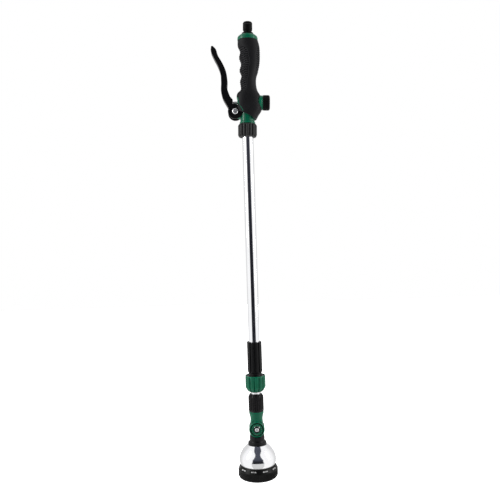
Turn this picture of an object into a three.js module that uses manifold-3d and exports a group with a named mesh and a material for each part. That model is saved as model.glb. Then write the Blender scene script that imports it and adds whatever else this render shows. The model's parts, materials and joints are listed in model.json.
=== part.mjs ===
// Telescopic watering wand: pattern dial, pivoting spray head, two-part tube with a
// twist lock, and a front-trigger handle with a flow knob and a hose connector.
//
// Millimetres, +Z up. The origin is the middle of the spray face and +Z runs along the
// wand to the hose end. The lever is on the -X side, the flow knob on the +X side.

import * as THREE from 'three';
import { mergeVertices } from 'three/addons/utils/BufferGeometryUtils.js';
import Module from 'manifold-3d';

const wasm = await Module();
wasm.setup();

// ---------------------------------------------------------------- driving dimensions

const GAP = 0.3; // clearance between two pieces that touch

// facets round a turned piece, by its size
const [LARGE, MEDIUM, SMALL, TINY] = [28, 20, 14, 8];

// spray head and pattern dial
const DIAL_RADIUS = 33.5;
const DIAL_HEIGHT = 22;
const DIAL_RIBS = 24;
const DIAL_CORE_RADIUS = 25.7;
const PATTERNS = 10;
const PATTERN_TURN = THREE.MathUtils.degToRad(4); // where the first pattern and the port stand
const PORT_CIRCLE = 14; // radius of the circle the water ports lie on
const PORT_RADIUS = 2.4;
const BELL_OUTLINE = [
  [28.8, 21.4], [30.6, 26], [31.1, 31.5], [30.2, 37], [27.6, 43], [23.4, 49], [19.4, 53.2], [16.7, 55.8],
];
const BELL_WALL = 1.5;
const NECK_RADIUS = 12.6;
const SKIRT_RADIUS = 15.5;

// head pivot
const PIVOT_Z = 82.3;
const CHEEK_RADIUS = 13.2;
const CHEEK_FACE = 11; // half the width over both cheeks
const EYE_RADIUS = 12.6;
const EYE_HALF = 5.2; // half the width of the eye between the cheeks

// tubes and twist lock
const INNER_TUBE = { radius: 8, wall: 0.9, bottom: 113, top: 515 };
const OUTER_TUBE = { radius: 9.5, wall: 0.8, bottom: 166, top: 590 };
const COLLAR = { radius: 12.9, bottom: 111.6, top: 141, ribs: 16 };
const LOCK_NUT = { radius: 17.2, bottom: 144.7, top: 172.3, flutes: 12 };
const SLEEVE = { radius: 12.4, bottom: 167, top: 229.2, ribs: 10 };

// handle
const LEAN = THREE.MathUtils.degToRad(1.8); // the handle leans to +X from the tube
const LEAN_Z = 590; // height of the point the handle leans about
const COUPLING = { radius: 16, bottom: 576.5, top: 598, flutes: 14 };
const CORE_NECK_RADIUS = 12.2;
const TUBE_BORE_X = 2.5; // the inlet bore and its tube stand off the handle's axis
const COLLAR_END = { radius: 17.3, bottom: 740.3, top: 750.3 };
const CONNECTOR_TOP = 771.5;

// lever and valve
const LEVER_PIVOT = [-20.6, 618.6];
const LEVER_HALF = 9; // half the lever's width
const FORK_HALF = 6; // half the width of the slot between the fork arms
const TONGUE_HALF = 5.6;
const BOSS_RADIUS = 12.5;
const VALVE_Z = 635;
const CHAMBER_RADIUS = 8.6;
const BONNET = { radius: 12.4, from: 18.4, to: 25.8 };
const KNOB = { radius: 12.75, from: 26.1, to: 37.9, ribs: 16 };

// ---------------------------------------------------------------- materials

const FINISHES = {
  green: { color: 0x0f6b45, roughness: 0.38, metalness: 0 },
  black: { color: 0x1b1c1e, roughness: 0.55, metalness: 0 },
  soft: { color: 0x202227, roughness: 0.8, metalness: 0 },
  grey: { color: 0x8b8f92, roughness: 0.6, metalness: 0 },
  rubber: { color: 0x101112, roughness: 0.85, metalness: 0 },
  aluminium: { color: 0xd8dade, roughness: 0.2, metalness: 1 },
  steel: { color: 0xb9bcc0, roughness: 0.3, metalness: 1 },
};

// ---------------------------------------------------------------- solids

/** A manifold solid from a closed three.js geometry. */
function toSolid(geometry) {
  const bare = geometry.clone();
  bare.deleteAttribute('normal');
  bare.deleteAttribute('uv');
  const merged = mergeVertices(bare);
  const corners = [];
  for (let i = 0; i < merged.index.count; i += 3) {
    const [a, b, c] = [0, 1, 2].map((k) => merged.index.getX(i + k));
    if (a !== b && b !== c && c !== a) {
      corners.push(a, b, c);
    }
  }
  const mesh = new wasm.Mesh({
    numProp: 3,
    vertProperties: Float32Array.from(merged.attributes.position.array),
    triVerts: Uint32Array.from(corners),
  });
  return new wasm.Manifold(mesh);
}

function toGeometry(solid) {
  const mesh = solid.getMesh();
  const geometry = new THREE.BufferGeometry();
  geometry.setAttribute('position', new THREE.BufferAttribute(mesh.vertProperties, 3));
  geometry.setIndex(new THREE.BufferAttribute(mesh.triVerts, 1));
  return geometry;
}

function join(first, ...others) {
  return others.reduce((whole, geometry) => whole.add(toSolid(geometry)), toSolid(first));
}

/** The first geometry with all the others cut away from it. */
function cut(first, ...tools) {
  const start = first instanceof THREE.BufferGeometry ? toSolid(first) : first;
  const rest = tools.reduce((whole, geometry) => whole.subtract(toSolid(geometry)), start);
  return toGeometry(rest);
}

/** A solid of revolution about Z from an outline of [radius, height] points. */
function turned(outline, segments = MEDIUM) {
  const onAxis = outline[0][0] === 0;
  const loop = onAxis ? [...outline] : [...outline, outline[0]];
  const area = loop.slice(1).reduce((sum, [r, z], i) => sum + loop[i][0] * z - r * loop[i][1], 0);
  const ordered = area < 0 ? loop.reverse() : loop;
  const points = ordered.map(([r, z]) => new THREE.Vector2(r, z));
  return new THREE.LatheGeometry(points, segments).rotateX(Math.PI / 2);
}

function disc(radius, from, to, segments = MEDIUM) {
  return turned([[0, from], [radius, from], [radius, to], [0, to]], segments);
}

function ring(inner, outer, from, to, segments = MEDIUM) {
  return turned([[inner, from], [outer, from], [outer, to], [inner, to]], segments);
}

/** A round-section ring, such as an O-ring, about Z. */
function torus(radius, thickness, z, segments = SMALL) {
  const outline = [];
  for (let i = 0; i < 6; i += 1) {
    const angle = (i * Math.PI) / 3;
    outline.push([radius + (thickness / 2) * Math.cos(angle), z + (thickness / 2) * Math.sin(angle)]);
  }
  return turned(outline, segments);
}

function box(x, y, z) {
  const [[x0, x1], [y0, y1], [z0, z1]] = [x, y, z];
  const block = new THREE.BoxGeometry(x1 - x0, y1 - y0, z1 - z0);
  return block.translate((x0 + x1) / 2, (y0 + y1) / 2, (z0 + z1) / 2);
}

/** Moves a geometry made about Z so that its +Z points along +X at height z. */
const alongX = (geometry, z) => geometry.rotateY(Math.PI / 2).translate(0, 0, z);

/** Moves a geometry made about Z so that its +Z points to the front, -Y, at (x, z). */
const alongFront = (geometry, x, z) => geometry.rotateX(Math.PI / 2).translate(x, 0, z);

const polar = (radius, angle) => new THREE.Vector2(radius * Math.cos(angle), radius * Math.sin(angle));

/** An upright prism with straight-sided ribs around it. */
function ribbed(count, root, tip, fill, from, to) {
  const pitch = (2 * Math.PI) / count;
  const points = [];
  for (let i = 0; i < count; i += 1) {
    const foot = (pitch * fill) / 2;
    const crest = foot * 0.7;
    const corners = [[root, -foot], [tip, -crest], [tip, crest], [root, foot]];
    corners.forEach(([radius, offset]) => points.push(polar(radius, i * pitch + offset)));
  }
  return prism(new THREE.Shape(points), from, to);
}

/** An upright prism with round hollows around it. */
function scalloped(count, radius, depth, from, to) {
  const steps = count * 4;
  const points = [];
  for (let i = 0; i < steps; i += 1) {
    const angle = (2 * Math.PI * i) / steps;
    const hollow = Math.abs(Math.sin((count * angle) / 2)) ** 3;
    points.push(polar(radius - depth * hollow, angle));
  }
  return prism(new THREE.Shape(points), from, to);
}

function prism(shape, from, to) {
  const geometry = new THREE.ExtrudeGeometry(shape, { depth: to - from, bevelEnabled: false });
  return geometry.translate(0, 0, from);
}

/** The part of a prism that lies inside a turned outline. */
function trimmed(geometry, outline, segments) {
  return toSolid(geometry).intersect(toSolid(turned(outline, segments)));
}

/** A smooth value at a height, through [height, value] points in rising order. */
function smoothAt(points, height) {
  const last = points.length - 2;
  const i = Math.min(last, Math.max(0, points.findIndex(([at]) => at > height) - 1));
  const k = height >= points[last + 1][0] ? last : i;
  const [h0, v0] = points[k];
  const [h1, v1] = points[k + 1];
  const before = points[Math.max(0, k - 1)];
  const after = points[Math.min(last + 1, k + 2)];
  const span = h1 - h0;
  const slope0 = ((v1 - before[1]) / (h1 - before[0])) * span;
  const slope1 = ((after[1] - v0) / (after[0] - h0)) * span;
  const t = THREE.MathUtils.clamp((height - h0) / span, 0, 1);
  const rise = v1 - v0;
  return v0 + t * slope0 + t * t * (3 * rise - 2 * slope0 - slope1) + t ** 3 * (slope0 + slope1 - 2 * rise);
}

function piece(name, geometry, finish) {
  const mesh = new THREE.Mesh(geometry, new THREE.MeshStandardMaterial(FINISHES[finish]));
  mesh.name = name;
  return mesh;
}

// ---------------------------------------------------------------- pattern dial

function dialRing() {
  const outline = [
    [26, 0.9], [28.5, 0.6], [31.6, 2], [33, 4], [DIAL_RADIUS, 6], [DIAL_RADIUS, 15.5],
    [29.6, DIAL_HEIGHT], [29.2, DIAL_HEIGHT], [29.2, 21], [26, 21],
  ];
  const knurl = ribbed(DIAL_RIBS, DIAL_RADIUS - 1, DIAL_RADIUS, 0.8, 0, DIAL_HEIGHT + 1);
  return toGeometry(trimmed(knurl, outline, LARGE));
}

/** The ring of ports and chambers behind the spray face, one for each pattern. */
function dialCore() {
  const tools = [disc(2.6, 0, 30, TINY)];
  for (let i = 0; i < PATTERNS; i += 1) {
    const middle = PATTERN_TURN + (2 * Math.PI * i) / PATTERNS;
    const half = Math.PI / PATTERNS;
    const wall = 1.1;
    const corners = [];
    for (const [radius, side] of [[8, -1], [24, -1], [24, -0.4], [24, 0.4], [24, 1], [8, 1]]) {
      const reach = side * (half - wall / radius);
      corners.push(polar(radius, middle + reach));
    }
    tools.push(prism(new THREE.Shape(corners), 4, 18));
    const port = disc(PORT_RADIUS, 17, 22, TINY);
    tools.push(port.translate(PORT_CIRCLE * Math.cos(middle), PORT_CIRCLE * Math.sin(middle), 0));
  }
  return cut(disc(DIAL_CORE_RADIUS, 5.6, 20.7, LARGE), ...tools);
}

/** Outlets of one pattern: [radius from the centre, sideways offset, hole radius]. */
const OUTLETS = [
  [[11, 0, 0.8], [15, -2.2, 0.8], [15, 2.2, 0.8], [19, -3.4, 0.8], [19, 0, 0.8], [19, 3.4, 0.8]],
  [[17, 0, 2]],
  [[13, 0, 0.6], [17, -2.6, 0.6], [17, 2.6, 0.6], [21, 0, 0.6]],
  [[17, -3.4, 0.9], [17, -1.2, 0.9], [17, 1.2, 0.9], [17, 3.4, 0.9]],
  [[12, 0, 1], [17, -2.8, 1], [17, 2.8, 1], [21.5, 0, 1]],
  [[17, 0, 3]],
  [[12, 0, 0.9], [15.4, 0, 0.9], [18.8, 0, 0.9], [22.2, 0, 0.9]],
  [[14, -1.8, 0.7], [14, 1.8, 0.7], [19, -3, 0.7], [19, 3, 0.7]],
  [[15, 0, 1.5], [20, 0, 1.5]],
  [[13, -1.4, 0.6], [13, 1.4, 0.6], [17, 0, 0.6], [21, -2, 0.6], [21, 2, 0.6]],
];

function sprayFace() {
  const holes = OUTLETS.flatMap((outlets, pattern) => {
    const turn = PATTERN_TURN + (2 * Math.PI * pattern) / PATTERNS;
    return outlets.map(([out, side, radius]) => {
      const hole = disc(radius, -1, 7, 6);
      return hole.translate(out, side, 0).rotateZ(turn);
    });
  });
  const plate = turned([
    [0, 0.4], [24.8, 0.4], [DIAL_CORE_RADIUS, 1.2], [DIAL_CORE_RADIUS, 5.3], [0, 5.3],
  ], LARGE);
  return cut(plate, disc(5.3, -1, 4.6, SMALL), disc(2.6, 4, 7, TINY), ...holes);
}

function patternDial() {
  const group = new THREE.Group();
  const screw = turned([[0, 1.6], [4.4, 1.6], [4.4, 4.3], [2.2, 4.3], [2.2, 40], [0, 40]], SMALL);
  group.add(
    piece('dial_ring', dialRing(), 'black'),
    piece('dial_core', dialCore(), 'grey'),
    piece('spray_face', sprayFace(), 'black'),
    piece('dial_screw', screw, 'steel'),
    piece('centre_cap', disc(5, 0, 1.2, SMALL), 'grey'),
  );
  return group;
}

// ---------------------------------------------------------------- spray head

function bellCover() {
  const kept = BELL_OUTLINE.filter((point, i) => i % 2 === 0);
  const inside = kept.map(([r, z]) => [r - BELL_WALL, z]).reverse();
  const lip = [[12.8, 55.8], [12.8, 55.8 - BELL_WALL], [16.4, 54.3]];
  return turned([...BELL_OUTLINE, ...lip, ...inside], LARGE);
}

/** Neck, skirt and water chamber of the head in one moulding, with the pivot eye on top. */
function headNeck() {
  const outside = [
    [0, 26.3], [27, 26.3], [27, 29], [20.5, 33], [12.4, 48], [12.4, 56.2], [SKIRT_RADIUS, 56.2],
    [SKIRT_RADIUS, 59.4], [13.3, 61], [NECK_RADIUS, 63], [NECK_RADIUS, 69], [11.8, 72],
    [11.8, PIVOT_Z], [0, PIVOT_Z],
  ];
  const chamber = turned([[0, 26], [20, 26], [20, 30], [5, 48], [5, PIVOT_Z], [0, PIVOT_Z]], MEDIUM);
  const eye = alongFront(disc(EYE_RADIUS, -EYE_HALF, EYE_HALF), 0, PIVOT_Z);
  const eyeBore = alongFront(disc(5.5, -EYE_HALF - 1, EYE_HALF + 1), 0, PIVOT_Z);
  const cheekRoom = [-1, 1].map((side) => {
    const room = disc(CHEEK_RADIUS + 0.4, 0, 10).translate(0, 0, side > 0 ? EYE_HALF : -EYE_HALF - 10);
    return alongFront(room, 0, PIVOT_Z);
  });
  const moulding = toSolid(cut(join(turned(outside), eye), chamber, eyeBore, ...cheekRoom));
  const ribs = [0, 1, 2].map((i) => box([0, 17], [-0.8, 0.8], [30, 40]).rotateZ((2 * Math.PI * i) / 3));
  const spider = join(disc(4.6, 26.3, 44, SMALL), ...ribs);
  const inside = toSolid(turned(outside)).intersect(spider);
  return cut(moulding.add(inside), disc(2.5, 26, 42, TINY));
}

function portPlate() {
  const plate = disc(26.9, 22.7, 24.9, LARGE);
  const port = disc(PORT_RADIUS, 20, 30, TINY).translate(PORT_CIRCLE, 0, 0).rotateZ(PATTERN_TURN);
  return cut(plate, port, disc(2.6, 20, 30, TINY));
}

function sprayHead() {
  const group = new THREE.Group();
  const portSeal = ring(PORT_RADIUS + 0.2, 4.6, 21, 22.4, TINY).translate(PORT_CIRCLE, 0, 0);
  portSeal.rotateZ(PATTERN_TURN);
  group.add(
    piece('bell_cover', bellCover(), 'aluminium'),
    piece('head_neck', headNeck(), 'black'),
    piece('port_plate', portPlate(), 'grey'),
    piece('port_seal', portSeal, 'rubber'),
    piece('plate_gasket', ring(20.4, 26.6, 25.2, 26, MEDIUM), 'rubber'),
    patternDial(),
  );
  return group;
}

// ---------------------------------------------------------------- head pivot

function pivotBody() {
  const stem = turned([
    [0, 88], [10.4, 88], [11, 92], [10.5, 98], [11.2, 104], [12.3, 108], [12.6, 111.2],
    [10.5, 111.2], [10.5, 124.2], [0, 124.2],
  ]);
  const cheeks = alongFront(disc(CHEEK_RADIUS, -CHEEK_FACE, CHEEK_FACE), 0, PIVOT_Z);
  const shoulders = box([-9.4, 9.4], [-10.4, 10.4], [PIVOT_Z, 99]);
  const slotHalf = EYE_HALF + GAP;
  const slot = alongFront(disc(CHEEK_RADIUS + 0.4, -slotHalf, slotHalf), 0, PIVOT_Z);
  const below = box([-20, 20], [-slotHalf, slotHalf], [50, PIVOT_Z]);
  const recesses = [9.8, -9.8 - 5].map((from) => alongFront(disc(11.5, from, from + 5), 0, PIVOT_Z));
  const screwHole = alongFront(disc(2.4, -20, 20, TINY), 0, PIVOT_Z);
  const hollow = alongFront(disc(5.5, -8.6, 8.6, SMALL), 0, PIVOT_Z);
  const ducts = [[6.4, 8.6], [-8.6, -6.4]].map((depth) => box([-3.5, 3.5], depth, [PIVOT_Z, 101]));
  const bore = disc(4.5, 100, 130, SMALL);
  const fork = box([-3.5, 3.5], [-8.6, 8.6], [98.5, 101.5]);
  const cup = disc(INNER_TUBE.radius + GAP, INNER_TUBE.bottom - GAP, 130);
  const rooms = [slot, below, ...recesses, screwHole, hollow, ...ducts, bore, fork, cup];
  return cut(join(stem, cheeks, shoulders), ...rooms);
}

/** Pieces about the pivot axis, drawn with +Z to the front of the wand. */
function pivotPins() {
  const group = new THREE.Group();
  group.position.z = PIVOT_Z;
  group.rotation.x = Math.PI / 2;
  const cap = [[5.8, 10], [11.2, 10], [11.2, 11], [10, 11.4], [8.6, 11.4], [5.8, 10.9]];
  const behind = cap.map(([r, z]) => [r, -z]);
  const head = [[3.6, 10.6], [3.6, 11.9], [3, 12.3], [0, 12.3]];
  const screw = cut(turned([[0, -14], [2, -14], [2, 10.6], ...head], SMALL), disc(1.5, 11.2, 13, 6));
  const nut = cut(disc(4.3, -12.9, -10.1, 6), disc(2.2, -14, -9, SMALL));
  group.add(
    piece('pivot_cap_front', turned(cap), 'green'),
    piece('pivot_cap_back', turned(behind), 'green'),
    piece('pivot_washer', ring(2.3, 5.5, 9.95, 10.35, SMALL), 'black'),
    piece('pivot_screw', screw, 'steel'),
    piece('pivot_nut', nut, 'steel'),
    piece('pivot_seal_front', ring(7, 8.6, 5.24, 5.46, SMALL), 'rubber'),
    piece('pivot_seal_back', ring(7, 8.6, -5.46, -5.24, SMALL), 'rubber'),
  );
  return group;
}

// ---------------------------------------------------------------- telescopic tubes

function tubeCollar() {
  const { radius, bottom, top, ribs } = COLLAR;
  const outline = [
    [0, bottom], [radius - 0.9, bottom], [radius, bottom + 1.5], [radius, top - 5],
    [radius - 1.6, top - 1.4], [radius - 2.6, top], [0, top],
  ];
  const body = trimmed(ribbed(ribs, radius - 0.9, radius, 0.7, bottom, top), outline, MEDIUM);
  const pocket = disc(10.8, bottom - 1, 127.4, MEDIUM);
  return cut(body, pocket, disc(INNER_TUBE.radius + 0.4, bottom, top + 1));
}

function slidingTube() {
  const { radius, wall, bottom, top } = INNER_TUBE;
  return ring(radius - wall, radius, bottom, top, MEDIUM);
}

/** The guide at the upper end of the inner tube, with grooves for two O-rings. */
function piston() {
  const base = INNER_TUBE.top + GAP;
  const [body, groove] = [8.3, 7.1];
  const outline = [[5.6, base], [body, base]];
  for (const from of [base + 3, base + 9]) {
    outline.push([body, from], [groove, from], [groove, from + 2], [body, from + 2]);
  }
  outline.push([body, base + 14], [5.6, base + 14]);
  return turned(outline);
}

function extension() {
  const group = new THREE.Group();
  const [lower, upper] = [4, 10].map((offset) => torus(7.9, 1.3, INNER_TUBE.top + GAP + offset));
  group.add(
    piece('pivot_body', pivotBody(), 'green'),
    pivotPins(),
    piece('tube_collar', tubeCollar(), 'black'),
    piece('collar_seal', ring(8.3, 10.4, 124.6, 127, SMALL), 'rubber'),
    piece('inner_tube', slidingTube(), 'aluminium'),
    piece('piston', piston(), 'grey'),
    piece('piston_oring_lower', lower, 'rubber'),
    piece('piston_oring_upper', upper, 'rubber'),
  );
  return group;
}

function lockNut() {
  const { radius, bottom, top, flutes } = LOCK_NUT;
  const outline = [
    [0, bottom], [11, bottom], [13.6, bottom + 2], [radius, bottom + 7.5], [radius, top - 1],
    [radius - 0.8, top], [0, top],
  ];
  const bore = turned([
    [0, bottom - 1], [8.7, bottom - 1], [8.7, 148.6], [14, 151.4], [14, 166.4], [15.4, 166.4],
    [15.4, top + 1], [0, top + 1],
  ]);
  return cut(trimmed(scalloped(flutes, radius, 1.5, bottom, top), outline, LARGE), bore);
}

/** The split taper that the lock nut squeezes on the inner tube. */
function lockCollet() {
  const taper = turned([[8.25, 149.9], [9.6, 149.9], [11.8, 153], [11.8, 165], [8.25, 165]]);
  const slit = box([6, 14], [-0.6, 0.6], [140, 170]);
  return cut(taper, slit);
}

function flutedSleeve() {
  const { radius, bottom, top, ribs } = SLEEVE;
  const outline = [
    [0, 153.4], [13.6, 153.4], [13.6, bottom], [15, bottom], [15, bottom + 4], [11.1, bottom + 5],
    [11.1, 178.2], [radius, 179.4], [radius, top - 0.8], [radius - 0.8, top], [0, top],
  ];
  const barrel = ribbed(ribs, radius - 1.5, radius, 0.72, 179.4, top);
  const foot = turned([[0, 153], [20, 153], [20, 179.5], [0, 179.5]]);
  const bore = turned([
    [0, 150], [12.1, 150], [12.1, 165.6], [9.8, 165.6], [9.8, top + 1], [0, top + 1],
  ]);
  const body = join(barrel, foot).intersect(toSolid(turned(outline)));
  return cut(body, bore);
}

function outerTube() {
  const { radius, wall, bottom, top } = OUTER_TUBE;
  return ring(radius - wall, radius, bottom, top, LARGE);
}

// ---------------------------------------------------------------- handle

/** Everything that the handle's own moulding must leave free for the lever to swing. */
const leverRoom = (reach) => alongFront(disc(BOSS_RADIUS + 0.8, -reach, reach), ...LEVER_PIVOT);

function handleCore() {
  const [px, pz] = LEVER_PIVOT;
  const neck = turned([
    [0, 584], [12.4, 584], [12.4, 599.3], [13.4, 599.3], [13.4, 601.6], [CORE_NECK_RADIUS, 602.4],
    [CORE_NECK_RADIUS, 640], [0, 640],
  ]);
  const valveHousing = alongX(disc(12.2, -16.5, 18.1), VALVE_Z);
  const inletTube = disc(8.9, 636, 740, SMALL).translate(1.5, 0, 0);
  const headSpigot = turned([[0, 730], [9, 730], [13.2, 737], [13.2, 746.6], [0, 746.6]]);
  const web = [[px, 610.6], [-6, 606], [-6, 628], [px, 626.6]].map(([x, z]) => new THREE.Vector2(x, z));
  const tongue = prism(new THREE.Shape(web), -TONGUE_HALF, TONGUE_HALF).rotateX(Math.PI / 2);
  const knuckle = alongFront(disc(8, -TONGUE_HALF, TONGUE_HALF, SMALL), px, pz);
  const forkRoom = [-1, 1].map((side) => {
    const room = disc(BOSS_RADIUS + 0.8, 0, 8).translate(0, 0, side > 0 ? TONGUE_HALF : -TONGUE_HALF - 8);
    return alongFront(room, px, pz);
  });
  const chamber = alongX(disc(CHAMBER_RADIUS, -4.3, 30, SMALL), VALVE_Z);
  const outlet = alongX(disc(5.8, -30, -4, SMALL), VALVE_Z);
  const outletBore = disc(3.2, 588, VALVE_Z, TINY).translate(-7, 0, 0);
  const inletBore = disc(4, VALVE_Z, 741, SMALL).translate(TUBE_BORE_X, 0, 0);
  const tubeSocket = disc(10.1, 580, 592, MEDIUM);
  const connectorSocket = disc(8.8, 739.4, 760, MEDIUM);
  const pin = alongFront(disc(2.4, -20, 20, TINY), px, pz);
  const rough = join(neck, valveHousing, inletTube, headSpigot);
  const trimmedCore = cut(rough, ...forkRoom);
  return cut(join(trimmedCore, tongue, knuckle), chamber, outlet, outletBore, inletBore, tubeSocket,
    connectorSocket, pin);
}

// the grip's front edge, back edge and half depth, each as [height, distance]
const GRIP_LEVER_EDGE = [
  [607, -12.8], [618, -16.5], [628.5, -19.6], [642, -18.9], [650, -17.4], [656.5, -11.8],
  [663, -11.9], [671, -12.9], [680, -10.6], [689, -13.7], [700, -11.3], [711, -14.4], [722, -13],
  [730, -16.4], [741, -16.9],
];
const GRIP_PALM_EDGE = [
  [607, 15.3], [613, 18.4], [622.5, 24], [636, 22.8], [648, 21], [654, 17.5], [663.5, 15],
  [679, 15.3], [686, 17.5], [697, 19.9], [715, 21.1], [731, 20], [741, 17.4],
];
const GRIP_HALF_DEPTH = [
  [607, 13.6], [617, 15.6], [635, 16.6], [650, 16], [663, 14], [680, 14.2], [700, 16], [720, 16.6],
  [741, 16.8],
];

/** The grip's outer shape: a round bar whose rings follow the three edges. */
function gripBlank() {
  const [bottom, top] = [607, 740];
  const bar = new THREE.CylinderGeometry(1, 1, 1, 20, 26).rotateX(Math.PI / 2);
  const spot = bar.attributes.position;
  for (let i = 0; i < spot.count; i += 1) {
    const height = THREE.MathUtils.lerp(bottom, top, spot.getZ(i) + 0.5);
    const left = smoothAt(GRIP_LEVER_EDGE, height);
    const right = smoothAt(GRIP_PALM_EDGE, height);
    const half = (right - left) / 2;
    const x = (left + right) / 2 + half * spot.getX(i);
    spot.setXYZ(i, x, smoothAt(GRIP_HALF_DEPTH, height) * spot.getY(i), height);
  }
  return bar;
}

function gripSleeve() {
  const inletRoom = disc(9.2, 630, 745, SMALL).translate(1.5, 0, 0);
  const spigotRoom = turned([[0, 729.5], [9.2, 729.5], [13.6, 736.7], [13.6, 745], [0, 745]]);
  const neckRoom = disc(CORE_NECK_RADIUS + GAP, 600, 640.3);
  const housingRoom = alongX(disc(12.5, -30, 18.2), VALVE_Z);
  const bonnetRoom = alongX(disc(BONNET.radius + 0.5, 18.1, 40), VALVE_Z);
  const tongueRoom = box([-30, -5], [-TONGUE_HALF - GAP, TONGUE_HALF + GAP], [600, 628.4]);
  const slant = THREE.MathUtils.degToRad(25);
  const lowerEdge = box([-40, 0], [-30, 30], [-30, 0]).rotateY(slant).translate(10, 0, 608.5);
  const hollows = [inletRoom, spigotRoom, neckRoom, housingRoom, bonnetRoom, tongueRoom, lowerEdge];
  return cut(gripBlank(), ...hollows, leverRoom(LEVER_HALF + 0.6));
}

function couplingNut() {
  const { radius, bottom, top, flutes } = COUPLING;
  const outline = [
    [0, bottom], [radius - 2.2, bottom], [radius - 0.4, bottom + 1.6], [radius, bottom + 4],
    [radius, top - 3], [radius - 1.2, top], [0, top],
  ];
  const bore = turned([[0, 570], [10.4, 570], [10.4, 581], [12.8, 581], [12.8, 605], [0, 605]]);
  const body = trimmed(ribbed(flutes, radius - 1.3, radius, 0.7, bottom, top), outline, LARGE);
  return cut(body, bore);
}

function endCollar() {
  const { radius, bottom, top } = COLLAR_END;
  return turned([
    [13.6, bottom], [radius, bottom], [radius, 743.8], [radius - 0.5, 745.8], [radius - 3.4, 748.6],
    [9.9, top], [8.8, top], [8.8, 746.9], [13.6, 746.9],
  ], LARGE);
}

function hoseConnector() {
  return turned([
    [3.6, 742.4], [8.4, 742.4], [8.4, 750.6], [9.9, 750.6], [9.9, 753.1], [6.9, 754], [6.6, 756.6],
    [8, 758.4], [8, 766.1], [6.4, 766.1], [6.4, 768.2], [8, 768.2], [8, 769.9], [7.1, CONNECTOR_TOP],
    [3.6, CONNECTOR_TOP],
  ]);
}

// ---------------------------------------------------------------- lever

// going round from the free end, down the outer edge, under the boss and up the inner edge
const LEVER_OUTER = [
  [-61.4, 728.7], [-62.1, 721.9], [-57.5, 710.2], [-51.5, 698.8], [-45.8, 683], [-44.6, 667], [-44.5, 651],
  [-41.2, 640], [-36, 631],
];
const LEVER_INNER = [
  [-34, 657], [-34, 672.5], [-36.3, 686], [-42.3, 700], [-50, 713.3], [-54, 724.3], [-59, 729.2],
];
const LEVER_PAD = { x: -24.9, from: 631.2, to: 638.6 }; // the flat that meets the valve stem

function leverOutline() {
  const [px, pz] = LEVER_PIVOT;
  const shape = new THREE.Shape();
  shape.moveTo(...LEVER_OUTER[0]);
  shape.splineThru(LEVER_OUTER.slice(1).map(([x, z]) => new THREE.Vector2(x, z)));
  shape.absarc(px, pz, BOSS_RADIUS, THREE.MathUtils.degToRad(155), THREE.MathUtils.degToRad(425), false);
  shape.lineTo(LEVER_PAD.x, LEVER_PAD.from);
  shape.lineTo(LEVER_PAD.x, LEVER_PAD.to);
  shape.lineTo(-29.6, 644);
  shape.splineThru(LEVER_INNER.map(([x, z]) => new THREE.Vector2(x, z)));
  return new THREE.Shape(shape.getPoints(5));
}

function lever() {
  const [px, pz] = LEVER_PIVOT;
  const blade = prism(leverOutline(), -LEVER_HALF, LEVER_HALF).rotateX(Math.PI / 2);
  const slot = alongFront(disc(9.2, -FORK_HALF, FORK_HALF, SMALL), px, pz);
  const openSide = box([LEVER_PAD.x + 0.4, px + 30], [-FORK_HALF, FORK_HALF], [600, LEVER_PAD.from + 0.8]);
  const openFoot = box([px - 30, px + 30], [-FORK_HALF, FORK_HALF], [600, pz]);
  const pin = alongFront(disc(2.9, -20, 20, TINY), px, pz);
  return cut(blade, slot, openSide, openFoot, pin);
}

/** Pieces about the lever's axis, drawn with +Z to the front. */
function leverPins() {
  const group = new THREE.Group();
  group.position.set(LEVER_PIVOT[0], 0, LEVER_PIVOT[1]);
  group.rotation.x = Math.PI / 2;
  const face = LEVER_HALF + GAP;
  const head = [[4.9, face], [4.9, face + 1], [4, face + 1.7], [0, face + 1.7]];
  const shank = [[0, -12.6], [2.1, -12.6], [2.1, face]];
  const screw = cut(turned([...shank, ...head], SMALL), disc(1.7, face + 0.6, 20, 6));
  const nut = cut(disc(4.4, -face - 2.6, -face, 6), disc(2.3, -20, 0, SMALL));
  group.add(piece('lever_screw', screw, 'steel'), piece('lever_nut', nut, 'steel'));
  return group;
}

// ---------------------------------------------------------------- valve

function valveStem() {
  const tip = [[0, -24.6], [1.3, -24.4], [2.1, -23.8], [2.4, -22.8]];
  return turned([...tip, [2.4, 0.2], [6.5, 0.2], [6.5, 1.8], [2.2, 2.6], [2.2, 6.4], [0, 6.4]], SMALL);
}

/** A helix of round wire about Z, closed at both ends. */
function coilSpring(radius, wire, from, to, turns) {
  const points = [];
  const steps = turns * 10;
  for (let i = 0; i <= steps; i += 1) {
    const angle = (2 * Math.PI * i) / 10;
    const height = THREE.MathUtils.lerp(from + wire / 2, to - wire / 2, i / steps);
    points.push(new THREE.Vector3(radius * Math.cos(angle), radius * Math.sin(angle), height));
  }
  const section = new THREE.Shape();
  section.absarc(0, 0, wire / 2, 0, 2 * Math.PI);
  const extrudePath = new THREE.CatmullRomCurve3(points);
  return new THREE.ExtrudeGeometry(section, { steps, curveSegments: 3, bevelEnabled: false, extrudePath });
}

function valveBonnet() {
  const { radius, from, to } = BONNET;
  return turned([
    [3.3, 13.6], [8.1, 13.6], [8.1, 15.2], [7.1, 15.2], [7.1, 17], [8.1, 17], [8.1, from],
    [radius - 1.4, from], [radius, from + 1.8], [radius, to - 0.6], [radius - 0.6, to], [3.3, to],
  ]);
}

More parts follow.
